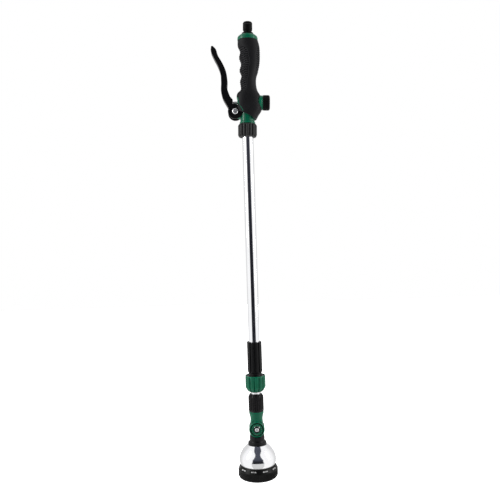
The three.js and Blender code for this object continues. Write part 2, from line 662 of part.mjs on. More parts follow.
/** The spindle carries a half shell that turns across the inlet and throttles it. */
function flowSpindle() {
  const shaft = turned([
    [0, 12.3], [8.1, 12.3], [8.1, 13.3], [2.9, 13.3], [2.9, 20], [2.1, 20], [2.1, 21.4], [2.9, 21.4],
    [2.9, 34.4], [0, 34.4],
  ], SMALL);
  const upperHalf = toSolid(box([0, 10], [-10, 10], [-3, 14]));
  const shell = toSolid(ring(7.2, 8.1, -1.1, 12.6, SMALL)).intersect(upperHalf);
  return cut(toSolid(shaft).add(shell), disc(1.3, 24, 36, TINY));
}

function flowKnob() {
  const { radius, from, to, ribs } = KNOB;
  const outline = [
    [0, from], [radius - 0.4, from], [radius, from + 0.6], [radius, to - 2.4], [radius - 0.8, to - 0.8],
    [radius - 2.4, to], [0, to],
  ];
  const room = turned([[5.2, from - 1], [10.4, from - 1], [10.4, 34.6], [5.2, 34.6]], MEDIUM);
  const shaftHole = turned([
    [0, from - 1], [3.2, from - 1], [3.2, 34.7], [1.8, 34.7], [1.8, 35.4], [3.8, 35.4], [3.8, 39], [0, 39],
  ], SMALL);
  const body = trimmed(ribbed(ribs, radius - 0.7, radius, 0.65, from, to), outline, LARGE);
  return cut(body, room, shaftHole);
}

/** Pieces about the valve's axis, drawn with +Z pointing to the flow knob. */
function valve() {
  const group = new THREE.Group();
  group.position.z = VALVE_Z;
  group.rotation.y = Math.PI / 2;
  const knobScrew = turned([[0, 25], [1.1, 25], [1.1, 35.7], [3.4, 35.7], [3.4, 37.1], [0, 37.1]], TINY);
  group.add(
    piece('stem_gland', ring(2.8, 5.5, -16.4, -12, SMALL), 'black'),
    piece('stem_oring', ring(2.7, 5.4, -11.7, -10.3, SMALL), 'rubber'),
    piece('valve_stem', valveStem(), 'steel'),
    piece('valve_seat', ring(3.8, 8.2, -4, -1.6, SMALL), 'grey'),
    piece('poppet_seal', ring(2.7, 6.3, -1.2, -0.1, SMALL), 'rubber'),
    piece('valve_spring', coilSpring(4.6, 0.9, 2.9, 12, 4), 'steel'),
    piece('valve_bonnet', valveBonnet(), 'green'),
    piece('bonnet_oring', torus(7.75, 1, 16.1), 'rubber'),
    piece('flow_spindle', flowSpindle(), 'black'),
    piece('spindle_oring', torus(2.7, 0.9, 20.7, SMALL), 'rubber'),
    piece('flow_knob', flowKnob(), 'black'),
    piece('knob_screw', knobScrew, 'steel'),
  );
  return group;
}

/** The handle stands on its own axis, which leans a little from the tube. */
function handle() {
  const upright = new THREE.Group();
  upright.position.z = -LEAN_Z;
  upright.add(
    piece('handle_core', handleCore(), 'green'),
    piece('grip_sleeve', gripSleeve(), 'soft'),
    piece('coupling_nut', couplingNut(), 'black'),
    piece('tube_seal', ring(10.05, 12.4, 581.3, 583.7), 'rubber'),
    piece('end_collar', endCollar(), 'green'),
    piece('inlet_washer', ring(4.2, 8.4, 739.8, 742, SMALL), 'rubber'),
    piece('hose_connector', hoseConnector(), 'black'),
    piece('connector_oring', torus(7.35, 1.3, 767.15), 'rubber'),
    piece('trigger_lever', lever(), 'black'),
    leverPins(),
    valve(),
  );
  const leaning = new THREE.Group();
  leaning.position.z = LEAN_Z;
  leaning.rotation.y = LEAN;
  leaning.add(upright);
  return leaning;
}

function wateringWand() {
  const group = new THREE.Group();
  group.add(
    sprayHead(),
    extension(),
    piece('twist_lock_nut', lockNut(), 'green'),
    piece('lock_collet', lockCollet(), 'grey'),
    piece('fluted_sleeve', flutedSleeve(), 'black'),
    piece('outer_tube', outerTube(), 'aluminium'),
    handle(),
  );
  return group;
}

export default wateringWand();
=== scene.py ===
"""Looks of the telescopic watering wand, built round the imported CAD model.

Pieces are drawn in millimetres in the row frame and turned into metres as their meshes are made. The
handle's are drawn upright and leaned over with HANDLE. The floor and the lights are in metres.
"""

import json
import math

import bmesh
import bpy
import numpy as np
from mathutils import Matrix, Vector


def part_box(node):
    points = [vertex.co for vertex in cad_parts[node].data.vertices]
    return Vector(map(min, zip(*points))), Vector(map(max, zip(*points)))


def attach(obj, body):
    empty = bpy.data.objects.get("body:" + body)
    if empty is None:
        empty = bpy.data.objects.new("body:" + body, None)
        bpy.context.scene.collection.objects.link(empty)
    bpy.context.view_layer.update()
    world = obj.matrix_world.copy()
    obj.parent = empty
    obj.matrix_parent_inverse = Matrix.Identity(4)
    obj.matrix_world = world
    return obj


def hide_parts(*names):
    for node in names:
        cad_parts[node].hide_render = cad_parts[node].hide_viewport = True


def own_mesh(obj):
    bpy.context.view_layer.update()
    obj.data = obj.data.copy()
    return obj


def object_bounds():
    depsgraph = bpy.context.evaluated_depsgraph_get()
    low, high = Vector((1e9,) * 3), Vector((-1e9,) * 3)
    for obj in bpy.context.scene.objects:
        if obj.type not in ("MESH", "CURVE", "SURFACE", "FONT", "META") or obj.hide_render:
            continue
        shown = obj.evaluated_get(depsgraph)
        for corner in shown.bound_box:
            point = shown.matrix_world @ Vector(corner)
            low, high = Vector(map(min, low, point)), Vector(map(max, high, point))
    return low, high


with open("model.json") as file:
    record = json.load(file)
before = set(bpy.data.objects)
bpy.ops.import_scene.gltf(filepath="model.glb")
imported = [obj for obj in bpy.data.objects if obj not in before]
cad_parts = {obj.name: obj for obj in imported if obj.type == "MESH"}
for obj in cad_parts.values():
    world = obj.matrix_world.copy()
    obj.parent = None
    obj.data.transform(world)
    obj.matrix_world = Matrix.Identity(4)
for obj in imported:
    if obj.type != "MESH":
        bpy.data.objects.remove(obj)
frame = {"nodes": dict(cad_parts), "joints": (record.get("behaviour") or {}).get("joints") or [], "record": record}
CAD_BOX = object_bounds()

MM = 0.001
TAU = 2 * math.pi
JOINTS = {joint["name"]: joint for joint in frame["joints"]}


def handle_matrix():
    """Lean of the handle, read from the valve's axis, about the point where it meets the tube's."""
    axis = Vector(JOINTS["stem_travel"]["axis"])
    lean = math.atan2(-axis.z, axis.x)
    spot = Vector(JOINTS["flow_turn"]["pos_m"])
    foot = Matrix.Translation((0, 0, spot.z - spot.x / math.tan(lean)))
    return foot @ Matrix.Rotation(lean, 4, "Y") @ foot.inverted()


HANDLE = handle_matrix()
UPRIGHT = Matrix.Identity(4)
FORWARD = Matrix.Rotation(math.pi / 2, 4, "X")  # turns +Z to the front, -Y


def node_span(node):
    """Lowest and highest point of a CAD node along Z, in millimetres."""
    low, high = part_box(node)
    return low.z / MM, high.z / MM


def moved(x, height):
    return Matrix.Translation((x * MM, 0, height * MM))


# ---- outlines


def smoothstep(low, high, value):
    t = np.clip((value - low) / (high - low), 0, 1)
    return t * t * (3 - 2 * t)


def hermite(t, start, rise, a, b):
    """The cubic that leaves start with slope a and arrives rise further on with slope b."""
    return start + t * a + t * t * (3 * rise - 2 * a - b) + t**3 * (a + b - 2 * rise)


def curve_through(points, count):
    """A smooth open curve through 2-D points, as a list of count + 1 points."""
    pts = np.array(points, float)
    chord = np.r_[0, np.cumsum(np.linalg.norm(np.diff(pts, axis=0), axis=1))]
    slope = np.gradient(pts, chord, axis=0)
    out = []
    for s in np.linspace(0, chord[-1], count + 1):
        i = min(np.searchsorted(chord, s, side="right") - 1, len(pts) - 2)
        span = chord[i + 1] - chord[i]
        t = (s - chord[i]) / span
        out.append(tuple(hermite(t, pts[i], pts[i + 1] - pts[i], slope[i] * span, slope[i + 1] * span)))
    return out


def smooth_at(points, height):
    """Smooth interpolation of [height, value] points, for an array of heights."""
    at, value = np.array(points, float).T
    slope = np.gradient(value, at)
    i = np.clip(np.searchsorted(at, height, side="right") - 1, 0, len(at) - 2)
    span = at[i + 1] - at[i]
    t = np.clip((height - at[i]) / span, 0, 1)
    return hermite(t, value[i], value[i + 1] - value[i], slope[i] * span, slope[i + 1] * span)


def filleted(points, closed=True, arc=5):
    """An outline whose points may carry a third number, the fillet radius of that corner."""
    out = []
    count = len(points)
    for i, point in enumerate(points):
        here = Vector(point[:2])
        radius = point[2] if len(point) > 2 else 0
        if not radius or (not closed and i in (0, count - 1)):
            out.append(tuple(here))
            continue
        back = Vector(points[i - 1][:2]) - here
        ahead = Vector(points[(i + 1) % count][:2]) - here
        half = back.angle(ahead) / 2
        reach = min(radius / math.tan(half), 0.49 * back.length, 0.49 * ahead.length)
        start, end = here + back.normalized() * reach, here + ahead.normalized() * reach
        for k in range(arc + 1):
            t = k / arc
            out.append(tuple(start * (1 - t) ** 2 + here * 2 * t * (1 - t) + end * t * t))
    return out


def divided(points, step, closed=True):
    """The outline with no stretch longer than step."""
    out = []
    pairs = zip(points, points[1:] + points[:1]) if closed else zip(points, points[1:])
    for a, b in pairs:
        parts = max(1, math.ceil(math.dist(a, b) / step))
        out += [tuple(np.array(a) + (np.array(b) - np.array(a)) * k / parts) for k in range(parts)]
    return out if closed else out + [points[-1]]


# ---- meshes


def new_object(name, data):
    item = bpy.data.objects.new(name, data)
    bpy.context.scene.collection.objects.link(item)
    return item


def mesh_object(name, verts, faces, place=UPRIGHT, sharp=35):
    """A mesh in millimetres put in its place in metres, with tidy normals and smooth faces."""
    mesh = bpy.data.meshes.new(name)
    mesh.from_pydata([tuple(v) for v in verts], [], faces)
    tidy(mesh)
    mesh.transform(place @ Matrix.Scale(MM, 4))
    smooth(mesh, sharp)
    return new_object(name, mesh)


def tidy(mesh):
    work = bmesh.new()
    work.from_mesh(mesh)
    bmesh.ops.remove_doubles(work, verts=work.verts, dist=1e-4)
    bmesh.ops.recalc_face_normals(work, faces=work.faces)
    work.to_mesh(mesh)
    work.free()


def smooth(mesh, sharp):
    mesh.polygons.foreach_set("use_smooth", [True] * len(mesh.polygons))
    mesh.set_sharp_from_angle(angle=math.radians(sharp))
    mesh.update()


def grid_faces(rings, sides, closed=False):
    """Quads between rings of points. closed joins the last ring to the first."""
    faces = []
    for i in range(rings if closed else rings - 1):
        low, high = i * sides, (i + 1) % rings * sides
        for j in range(sides):
            k = (j + 1) % sides
            faces.append((low + j, low + k, high + k, high + j))
    return faces


def turned(name, outline, segments=128, relief=None, place=UPRIGHT, sharp=35, lift=None):
    """A solid turned about Z. relief(angle, r, z) moves its surface in or out, and lift up or down."""
    on_axis = outline[0][0] == 0 and outline[-1][0] == 0
    r, z = np.array(outline, float).T
    angle = np.arange(segments) * TAU / segments
    radii = np.repeat(r[:, None], segments, axis=1)
    heights = np.repeat(z[:, None], segments, axis=1)
    if relief is not None:
        radii = np.maximum(0, radii + relief(angle[None, :], radii, heights))
    if lift is not None:
        heights = heights + lift(angle[None, :], radii, heights)
    verts = np.stack([radii * np.cos(angle), radii * np.sin(angle), heights], axis=-1).reshape(-1, 3)
    return mesh_object(name, verts, grid_faces(len(outline), segments, not on_axis), place, sharp)


def prism(name, outline, low, high, place=UPRIGHT, sharp=35):
    """A straight prism of a 2-D outline, drawn in XY and raised along Z."""
    count = len(outline)
    verts = [(x, y, z) for z in (low, high) for x, y in outline]
    ends = [tuple(range(count)), tuple(range(count, 2 * count))]
    return mesh_object(name, verts, ends + grid_faces(2, count), place, sharp)


def block(name, x, y, z, place=UPRIGHT):
    outline = [(x[0], y[0]), (x[1], y[0]), (x[1], y[1]), (x[0], y[1])]
    return prism(name, outline, z[0], z[1], place)


def cylinder(name, radius, low, high, place=UPRIGHT, segments=96):
    return turned(name, [(0, low), (radius, low), (radius, high), (0, high)], segments, place=place)


def apply_modifiers(piece):
    bpy.context.view_layer.update()
    shaped = piece.evaluated_get(bpy.context.evaluated_depsgraph_get())
    mesh = bpy.data.meshes.new_from_object(shaped)
    piece.modifiers.clear()
    old, piece.data = piece.data, mesh
    bpy.data.meshes.remove(old)


def combined(piece, operation, *others):
    """Joins, cuts or intersects a piece with others, which are used up."""
    for other in others:
        step = piece.modifiers.new("boolean", "BOOLEAN")
        step.operation = operation
        step.solver = "MANIFOLD"
        step.object = other
    apply_modifiers(piece)
    for other in others:
        bpy.data.objects.remove(other)


def moulded(piece, voxel, rounds, sharp=50):
    """Rounds every edge and inner corner a little, as a moulding has them."""
    remesh = piece.modifiers.new("remesh", "REMESH")
    remesh.mode = "VOXEL"
    remesh.voxel_size = voxel * MM
    relax = piece.modifiers.new("relax", "SMOOTH")
    relax.factor = 0.5
    relax.iterations = rounds
    apply_modifiers(piece)
    smooth(piece.data, sharp)


def joined(name, pieces):
    """Several separate meshes as one object."""
    work = bmesh.new()
    for piece in pieces:
        work.from_mesh(piece.data)
        bpy.data.objects.remove(piece)
    mesh = bpy.data.meshes.new(name)
    work.to_mesh(mesh)
    work.free()
    smooth(mesh, 35)
    return new_object(name, mesh)


# ---- materials


class Graph:
    """A node tree with short ways to add and link nodes."""

    def __init__(self, owner):
        owner.use_nodes = True
        self.tree = owner.node_tree

    def node(self, kind):
        return self.tree.nodes.new(f"ShaderNode{kind}")

    def link(self, output, socket):
        self.tree.links.new(output, socket)

    def feed(self, value, socket):
        """Links another node's output to a socket, or sets a plain value on it."""
        if isinstance(value, bpy.types.NodeSocket):
            self.link(value, socket)
        else:
            socket.default_value = (*value, 1) if isinstance(value, tuple) else value

    def ramp(self, value, *stops):
        """Maps a value through colour or grey stops, each (position, colour or level)."""
        node = self.node("ValToRGB")
        points = node.color_ramp.elements
        while len(points) < len(stops):
            points.new(0.5)
        for point, (position, colour) in zip(points, stops):
            point.position = position
            point.color = (*colour, 1) if isinstance(colour, tuple) else (colour, colour, colour, 1)
        self.link(value, node.inputs["Fac"])
        return node.outputs["Color"]

    def mix(self, amount, first, second):
        node = self.node("Mix")
        node.data_type = "RGBA"
        for value, key in ((amount, "Factor"), (first, "A"), (second, "B")):
            self.feed(value, node.inputs[key])
        return node.outputs["Result"]


class Shader(Graph):
    """A principled material with short ways to add noise, wear and bump."""

    def __init__(self, name, roughness=0.5, metallic=0.0):
        self.material = bpy.data.materials.new(name)
        super().__init__(self.material)
        self.base = self.tree.nodes["Principled BSDF"]
        self.base.inputs["Roughness"].default_value = roughness
        self.base.inputs["Metallic"].default_value = metallic
        self.coordinates = self.node("TexCoord").outputs["Object"]
        self.normal = None

    def stretched(self, scale, turn=(0, 0, 0)):
        mapping = self.node("Mapping")
        mapping.inputs["Scale"].default_value = scale
        mapping.inputs["Rotation"].default_value = turn
        self.link(self.coordinates, mapping.inputs["Vector"])
        return mapping.outputs["Vector"]

    def noise(self, scale, detail=3.0, vector=None, roughness=0.55):
        node = self.node("TexNoise")
        node.inputs["Scale"].default_value = scale
        node.inputs["Detail"].default_value = detail
        node.inputs["Roughness"].default_value = roughness
        self.link(vector or self.coordinates, node.inputs["Vector"])
        return node.outputs["Fac"]

    def cells(self, scale):
        node = self.node("TexVoronoi")
        node.inputs["Scale"].default_value = scale
        self.link(self.coordinates, node.inputs["Vector"])
        return node.outputs["Distance"]

    def edges(self, low, high):
        """1 on outer edges, 0 elsewhere. It masks worn edges, painted highlights on edges and, turned round,
        painted shade in hollows.
        """
        node = self.node("NewGeometry")
        return self.ramp(node.outputs["Pointiness"], (low, 0.0), (high, 1.0))

    def bump(self, height, distance, strength=1.0):
        node = self.node("Bump")
        node.inputs["Distance"].default_value = distance
        node.inputs["Strength"].default_value = strength
        self.link(height, node.inputs["Height"])
        if self.normal is not None:
            self.link(self.normal, node.inputs["Normal"])
        self.normal = node.outputs["Normal"]
        self.link(self.normal, self.base.inputs["Normal"])

    def colour(self, output):
        self.link(output, self.base.inputs["Base Color"])

    def roughness(self, output):
        self.link(output, self.base.inputs["Roughness"])

    def coat(self, weight, roughness):
        self.base.inputs["Coat Weight"].default_value = weight
        self.base.inputs["Coat Roughness"].default_value = roughness


def shade(colour, factor):
    return tuple(min(1.0, c * factor) for c in colour)


def plastic(name, colour, rough, grain, depth=0.00002, coat=0.0, wear=0.25, specular=0.5, painted_highlight=1.0):
    """Cloudy colour, fine moulding grain, faint scuffs and worn paler edges. Hollows get painted shade, and ribs
    and edges a painted highlight whose strength is the last argument.
    """
    s = Shader(name)
    cloud = s.ramp(s.noise(38, 4), (0.3, shade(colour, 0.86)), (0.7, shade(colour, 1.16)))
    specks = s.ramp(s.noise(2600, 2), (0.62, 0.0), (0.8, 0.35))
    tinted = s.mix(specks, cloud, shade(colour, 1.5))
    slanted = s.stretched((1, 1, 0.25), (0.3, 0.2, 0))
    scuffs = s.ramp(s.noise(60, 6, slanted, 0.7), (0.56, 0.0), (0.72, 1.0))
    edge = s.mix(s.edges(0.51, 0.6), (0, 0, 0), scuffs)
    worn = s.mix(edge, tinted, shade(colour, 1.6 + 2 * wear))
    # Painted shade: hollows and inner corners are darkened to 0.35 of the colour.
    painted_hollow_shade = s.mix(s.edges(0.44, 0.5), shade(colour, 0.35), worn)
    # Painted highlight: outer edges and rib crests are lightened by the last argument's factor, as if lit.
    s.colour(s.mix(s.edges(0.505, 0.56), painted_hollow_shade, shade(colour, painted_highlight)))
    s.roughness(s.ramp(s.noise(120, 5), (0.3, rough - 0.06), (0.7, rough + 0.08)))
    s.bump(s.noise(grain, 3), depth)
    s.bump(scuffs, 0.00001, 0.4)
    s.coat(coat, 0.12)
    s.base.inputs["Specular IOR Level"].default_value = specular
    s.base.inputs["IOR"].default_value = 1.33
    return s.material


def soft_rubber(name, colour, rough):
    """Soft-touch grip: very fine leathery cells, faint dust and a soft sheen, with painted shade in its hollows
    and a painted highlight that pales rib crests and edges.
    """
    s = Shader(name)
    cloud = s.ramp(s.noise(30, 4), (0.3, shade(colour, 0.8)), (0.72, shade(colour, 1.3)))
    dust = s.ramp(s.noise(420, 6, roughness=0.7), (0.58, 0.0), (0.85, 0.22))
    # Painted shade: hollows are darkened to 0.2 of the colour. The paler dust is real.
    painted_hollow_shade = s.mix(s.edges(0.42, 0.49), shade(colour, 0.2), s.mix(dust, cloud, shade(colour, 2.6)))
    # Painted highlight: crests and edges are lightened 3.4 times.
    s.colour(s.mix(s.edges(0.502, 0.53), painted_hollow_shade, shade(colour, 3.4)))
    s.roughness(s.ramp(s.noise(22, 3), (0.3, rough - 0.1), (0.7, rough + 0.08)))
    s.bump(s.cells(2300), 0.00004, 0.7)
    s.bump(s.noise(5200, 2), 0.00002, 0.5)
    s.base.inputs["IOR"].default_value = 1.33
    s.base.inputs["Specular IOR Level"].default_value = 0.25
    return s.material


def metal(name, colour, rough, lines, line_depth, smudge=0.05):
    """Metal with drawn or turned lines, faint smudges and tiny scratches."""
    s = Shader(name, metallic=1.0)
    drawn = s.noise(1.0, 4, s.stretched(lines), 0.6)
    cloud = s.ramp(s.noise(24, 4), (0.3, shade(colour, 0.95)), (0.7, shade(colour, 1.03)))
    streak = s.ramp(drawn, (0.35, 0.0), (0.75, 0.22))
    s.colour(s.mix(streak, cloud, shade(colour, 0.9)))
    s.roughness(s.ramp(s.noise(45, 5), (0.35, rough), (0.75, rough + smudge)))
    s.bump(drawn, line_depth, 0.5)
    lengthwise = s.stretched((900, 900, 60), (0.5, 0.1, 0.3))
    scratches = s.ramp(s.noise(1.0, 3, lengthwise, 0.75), (0.68, 0.0), (0.74, 1.0))
    s.bump(scratches, 0.000003, 0.3)
    return s.material


def print_ink(name, colour):
    """Pad-printed ink, slightly broken up by the grain under it."""
    s = Shader(name)
    s.colour(s.ramp(s.noise(900, 4), (0.3, shade(colour, 0.82)), (0.6, colour)))
    s.roughness(s.ramp(s.noise(300, 3), (0.3, 0.35), (0.7, 0.55)))
    s.bump(s.noise(2400, 2), 0.00001)
    return s.material


GREEN = (0.0008, 0.108, 0.054)
BLACK = (0.0035, 0.0035, 0.004)
WARM_BLACK = (0.006, 0.0055, 0.006)
# The last number given to plastic() is the strength of its painted highlight on ribs and edges.
MATERIALS = {
    "green": plastic("GreenPlastic", GREEN, 0.3, 1500, coat=0.12, wear=0.3, specular=0.38, painted_highlight=2.5),
    "black": plastic("BlackPlastic", BLACK, 0.3, 1900, wear=0.5, specular=0.36, painted_highlight=3.5),
    "plug": plastic("PlugPlastic", (0.002, 0.002, 0.002), 0.45, 1900, wear=0.4, specular=0.14, painted_highlight=1.2),
    "collar": plastic("CollarPlastic", WARM_BLACK, 0.3, 1900, wear=0.5, specular=0.4, painted_highlight=5),
    "nut": plastic("CharcoalPlastic", (0.02, 0.02, 0.02), 0.45, 1700, 0.00003, wear=0.4, specular=0.5),
    "dial": plastic("DialPlastic", (0.004, 0.004, 0.004), 0.32, 2300, wear=0.4, specular=0.22, painted_highlight=3),
    "grip": soft_rubber("SoftGrip", (0.0075, 0.0075, 0.0085), 0.55),
    # Also the rubber of the dark rings round the pivot caps, which are painted shade.
    "rubber": soft_rubber("SealAndShadeRingRubber", (0.008, 0.008, 0.008), 0.6),
    "grey": plastic("GreyAcetal", (0.26, 0.27, 0.28), 0.4, 1200, wear=0.1),
    "tube": metal("DrawnAluminium", (0.93, 0.935, 0.95), 0.05, (2600, 2600, 14), 0.0000015),
    "bell": metal("PolishedAluminium", (0.96, 0.96, 0.98), 0.07, (60, 60, 1900), 0.000003),
    "steel": metal("StainlessSteel", (0.82, 0.82, 0.83), 0.34, (1500, 1500, 1500), 0.000006, 0.1),
    "ink": print_ink("WhiteInk", (0.5, 0.5, 0.5)),
}
SLOT_MATERIAL = {
    "green_plastic": "green", "black_plastic": "black", "soft_grip": "grip", "grey_plastic": "grey",
    "rubber": "rubber", "aluminium": "tube", "steel": "steel",
}
NODE_SLOT = {row["node"]: row["material_slot"] for row in frame["record"]["subparts"]}
NODE_BODY = {n: body for body, nodes in frame["record"]["behaviour"]["bodies"].items() for n in nodes}


def dress(piece, material, node, replaces=True):
    """Gives a piece its material, and its body from the CAD node that it stands for."""
    piece.data.materials.clear()
    piece.data.materials.append(MATERIALS[material])
    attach(piece, NODE_BODY[node])
    if replaces:
        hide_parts(node)
    return piece


def dress_cad_nodes():
    """Every CAD node gets its slot's finish. The ones that no piece replaces keep it."""
    for name, node in frame["nodes"].items():
        material = MATERIALS[SLOT_MATERIAL[NODE_SLOT[name]]]
        node.data.materials.clear()
        node.data.materials.append(material)


# ---- pattern dial

DIAL_RADIUS = 33.5
DIAL_CONE = ((33.5, 15.5), (29.6, 22.0))  # the sloping band that carries the marks
DIAMONDS = 90
DIAL_RIBS = 120
PATTERNS = 10
PATTERN_TURN = math.radians(4)  # where the first pattern stands


def zigzag(value):
    return np.abs((value % 1) * 2 - 1)


def dial_knurl(angle, r, z):
    """Two quarters of diamond knurl and two of fine upright ribs."""
    band = smoothstep(3.4, 4.6, z) * (1 - smoothstep(14.4, 15.2, z)) * (r > DIAL_RADIUS - 1.2)
    around = angle * DIAMONDS / TAU
    up = z * DIAMONDS / (TAU * DIAL_RADIUS)
    diamond = np.maximum(zigzag(around + up), zigzag(around - up))
    ribs = 0.5 + 0.5 * np.cos(angle * DIAL_RIBS)
    share = smoothstep(-0.05, 0.05, np.sin(2 * angle))
    return -band * (0.62 * diamond * share + 0.5 * ribs * (1 - share))


def dial_ring():
    low, high = node_span("dial_ring")
    (cone_r, cone_z), lip_r = DIAL_CONE[0], DIAL_CONE[1][0]
    band = [(DIAL_RADIUS, z) for z in np.linspace(6.2, cone_z - 0.6, 26)]
    corner = filleted([(26, 6), (26, low + 0.3, 0.4), (28.6, low, 0.8), (31.7, 1.9, 2), (33.4, 4.4, 2),
                       (33.5, 6.1)], False)
    rim = filleted([(cone_r, cone_z - 0.4), (cone_r, cone_z + 0.1, 0.5), (lip_r, high, 0.4),
                    (29.2, high, 0.1), (29.2, high - 1), (26, high - 1), (26, 12)], False)
    piece = turned("DialRing", divided(corner, 0.5, False) + band + rim, 720, dial_knurl)
    dress(piece, "dial", "dial_ring")


def dot(x, y, radius, sides=16):
    angles = [TAU * i / sides for i in range(sides)]
    return [(x + radius * math.cos(a), y + radius * math.sin(a)) for a in angles]


def bar(x, y, width, height, turn=0.0):
    c, s = math.cos(turn), math.sin(turn)
    w, h = width / 2, height / 2
    return [(x + c * u - s * v, y + s * u + c * v) for u, v in ((-w, -h), (w, -h), (w, h), (-w, h))]


def pattern_marks():
    """Plain signs for the spray patterns: dots, bars, fans and drops."""
    return [
        [dot(x, y, 0.32) for x in (-1.6, -0.8, 0, 0.8, 1.6) for y in (-0.5, 0.5)],
        [bar(0, 0, 4.2, 0.6)],
        [[(-1.8, 0), (1.6, -1.1), (1.6, 1.1)]],
        [bar(0, y, 3.2, 0.32) for y in (-0.8, 0, 0.8)],
        [dot(x, 0, 0.3) for x in (-1.5, -0.5, 0.5, 1.5)],
        [dot(0, 0, 1.15, 24)],
        [bar(0, 0, 2.6, 0.35, turn) for turn in (-0.5, 0, 0.5)],
        [bar(x, 0, 0.4, 2) for x in (-1.8, -0.9, 0, 0.9, 1.8)],
        [dot(-1.2, 0, 0.7), bar(0.9, 0, 2.2, 0.5)],
        [dot(x, 0, 0.55) for x in (-1.6, 0, 1.6)],
    ]


def rounded_pad(width, height, radius):
    x, y = width / 2, height / 2
    return filleted([(-x, -y, radius), (x, -y, radius), (x, y, radius), (-x, y, radius)])


def printed(name, outlines, turn, lift):
    """Thin printed shapes, drawn flat as x across and y up, and wrapped on the dial's sloping band."""
    (r0, z0), (r1, z1) = DIAL_CONE
    slope = Vector((r1 - r0, z1 - z0)).normalized()
    middle = ((r0 + r1) / 2, (z0 + z1) / 2)
    work = bmesh.new()
    for outline in outlines:
        work.faces.new([work.verts.new((x, y, 0)) for x, y in outline])
    for x in np.arange(-6, 6.1, 0.6):
        geometry = work.verts[:] + work.edges[:] + work.faces[:]
        bmesh.ops.bisect_plane(work, geom=geometry, plane_co=(x, 0, 0), plane_no=(1, 0, 0))
    top = bmesh.ops.extrude_face_region(work, geom=work.faces[:])
    raised = {v for v in top["geom"] if isinstance(v, bmesh.types.BMVert)}
    for vert in work.verts:
        out = lift if vert in raised else -0.12
        radius = middle[0] + slope.x * vert.co.y + slope.y * out
        height = middle[1] + slope.y * vert.co.y - slope.x * out
        angle = turn + vert.co.x / middle[0]
        vert.co = (radius * math.cos(angle), radius * math.sin(angle), height)
    mesh = bpy.data.meshes.new(name)
    bmesh.ops.recalc_face_normals(work, faces=work.faces)
    work.to_mesh(mesh)
    work.free()
    mesh.transform(Matrix.Scale(MM, 4))
    return new_object(name, mesh)


def dial_marks():
    pads, signs = [], []
    for i, marks in enumerate(pattern_marks()):
        turn = PATTERN_TURN + i * TAU / PATTERNS
        pads.append(printed(f"Pad{i}", [rounded_pad(8.6, 1.9, 0.7)], turn, 0.06))
        signs.append(printed(f"Sign{i}", marks, turn, 0.12))
    dress(joined("DialPads", pads), "ink", "dial_ring", False)
    dress(joined("DialSigns", signs), "dial", "dial_ring", False)


# outlets of each pattern in turn: distance out, sideways offset, hole radius
OUTLETS = [
    [(11, 0, 0.8), (15, -2.2, 0.8), (15, 2.2, 0.8), (19, -3.4, 0.8), (19, 0, 0.8), (19, 3.4, 0.8)],
    [(17, 0, 2)],
    [(13, 0, 0.6), (17, -2.6, 0.6), (17, 2.6, 0.6), (21, 0, 0.6)],
    [(17, -3.4, 0.9), (17, -1.2, 0.9), (17, 1.2, 0.9), (17, 3.4, 0.9)],
    [(12, 0, 1), (17, -2.8, 1), (17, 2.8, 1), (21.5, 0, 1)],
    [(17, 0, 3)],
    [(12, 0, 0.9), (15.4, 0, 0.9), (18.8, 0, 0.9), (22.2, 0, 0.9)],
    [(14, -1.8, 0.7), (14, 1.8, 0.7), (19, -3, 0.7), (19, 3, 0.7)],
    [(15, 0, 1.5), (20, 0, 1.5)],
    [(13, -1.4, 0.6), (13, 1.4, 0.6), (17, 0, 0.6), (21, -2, 0.6), (21, 2, 0.6)],
]


def spray_face():
    low, high = node_span("spray_face")
    outline = filleted([(0, low), (4.9, low), (5.3, low), (24.4, low, 0.6), (25.5, low + 0.9, 0.5),
                        (25.5, high), (0, high)])
    plate = turned("SprayFace", outline, 128)
    pockets = [cylinder("Pocket", 5.3, low - 1, high - 0.7, segments=48)]
    for pattern, outlets in enumerate(OUTLETS):
        turn = Matrix.Rotation(PATTERN_TURN + pattern * TAU / PATTERNS, 4, "Z")
        for out, side, radius in outlets:
            place = turn @ Matrix.Translation((out * MM, side * MM, 0))
            flare = [(0, low - 1), (radius + 0.9, low - 1), (radius + 0.45, low), (radius, low + 0.7),
                     (radius, high + 1), (0, high + 1)]
            pockets.append(turned("Pocket", flare, 20, place=place))
    combined(plate, "DIFFERENCE", joined("Pockets", pockets))
    smooth(plate.data, 30)
    dress(plate, "dial", "spray_face")


def centre_cap():
    low, high = node_span("centre_cap")
    outline = filleted([(0, low), (2.6, low), (2.9, low + 0.25), (3.2, low), (5, low, 0.3), (5, high),
                        (0, high)])
    dress(turned("CentreCap", outline, 96), "grey", "centre_cap")


# ---- spray head

BELL = [(28.8, 21.4), (30.6, 26), (31.1, 31.5), (30.2, 37), (27.6, 43), (23.4, 49), (19.4, 53.2),
        (16.7, 55.8)]
BELL_WALL = 1.5
PIVOT = JOINTS["head_tilt"]["pos_m"][2] / MM
PIVOT_PLACE = moved(0, PIVOT) @ FORWARD
CHEEK_RADIUS = 13.2
CHEEK_FACE = 11.0
EYE_RADIUS = 12.6
EYE_HALF = 5.2


def bell_cover():
    outside = curve_through(BELL, 72)
    inside = [(r - BELL_WALL, z) for r, z in curve_through(BELL, 20)][::-1]
    top = BELL[-1][1]
    lip = filleted([outside[-1], (16.2, top, 0.3), (12.8, top, 0.2), (12.8, top - BELL_WALL),
                    (15.4, top - 1.6)], False)
    rolled = [(27.4, 21.6), (27.8, 21.2), (28.4, 21.15)]
    dress(turned("BellCover", rolled + outside + lip[1:] + inside[2:], 192), "bell", "bell_cover")


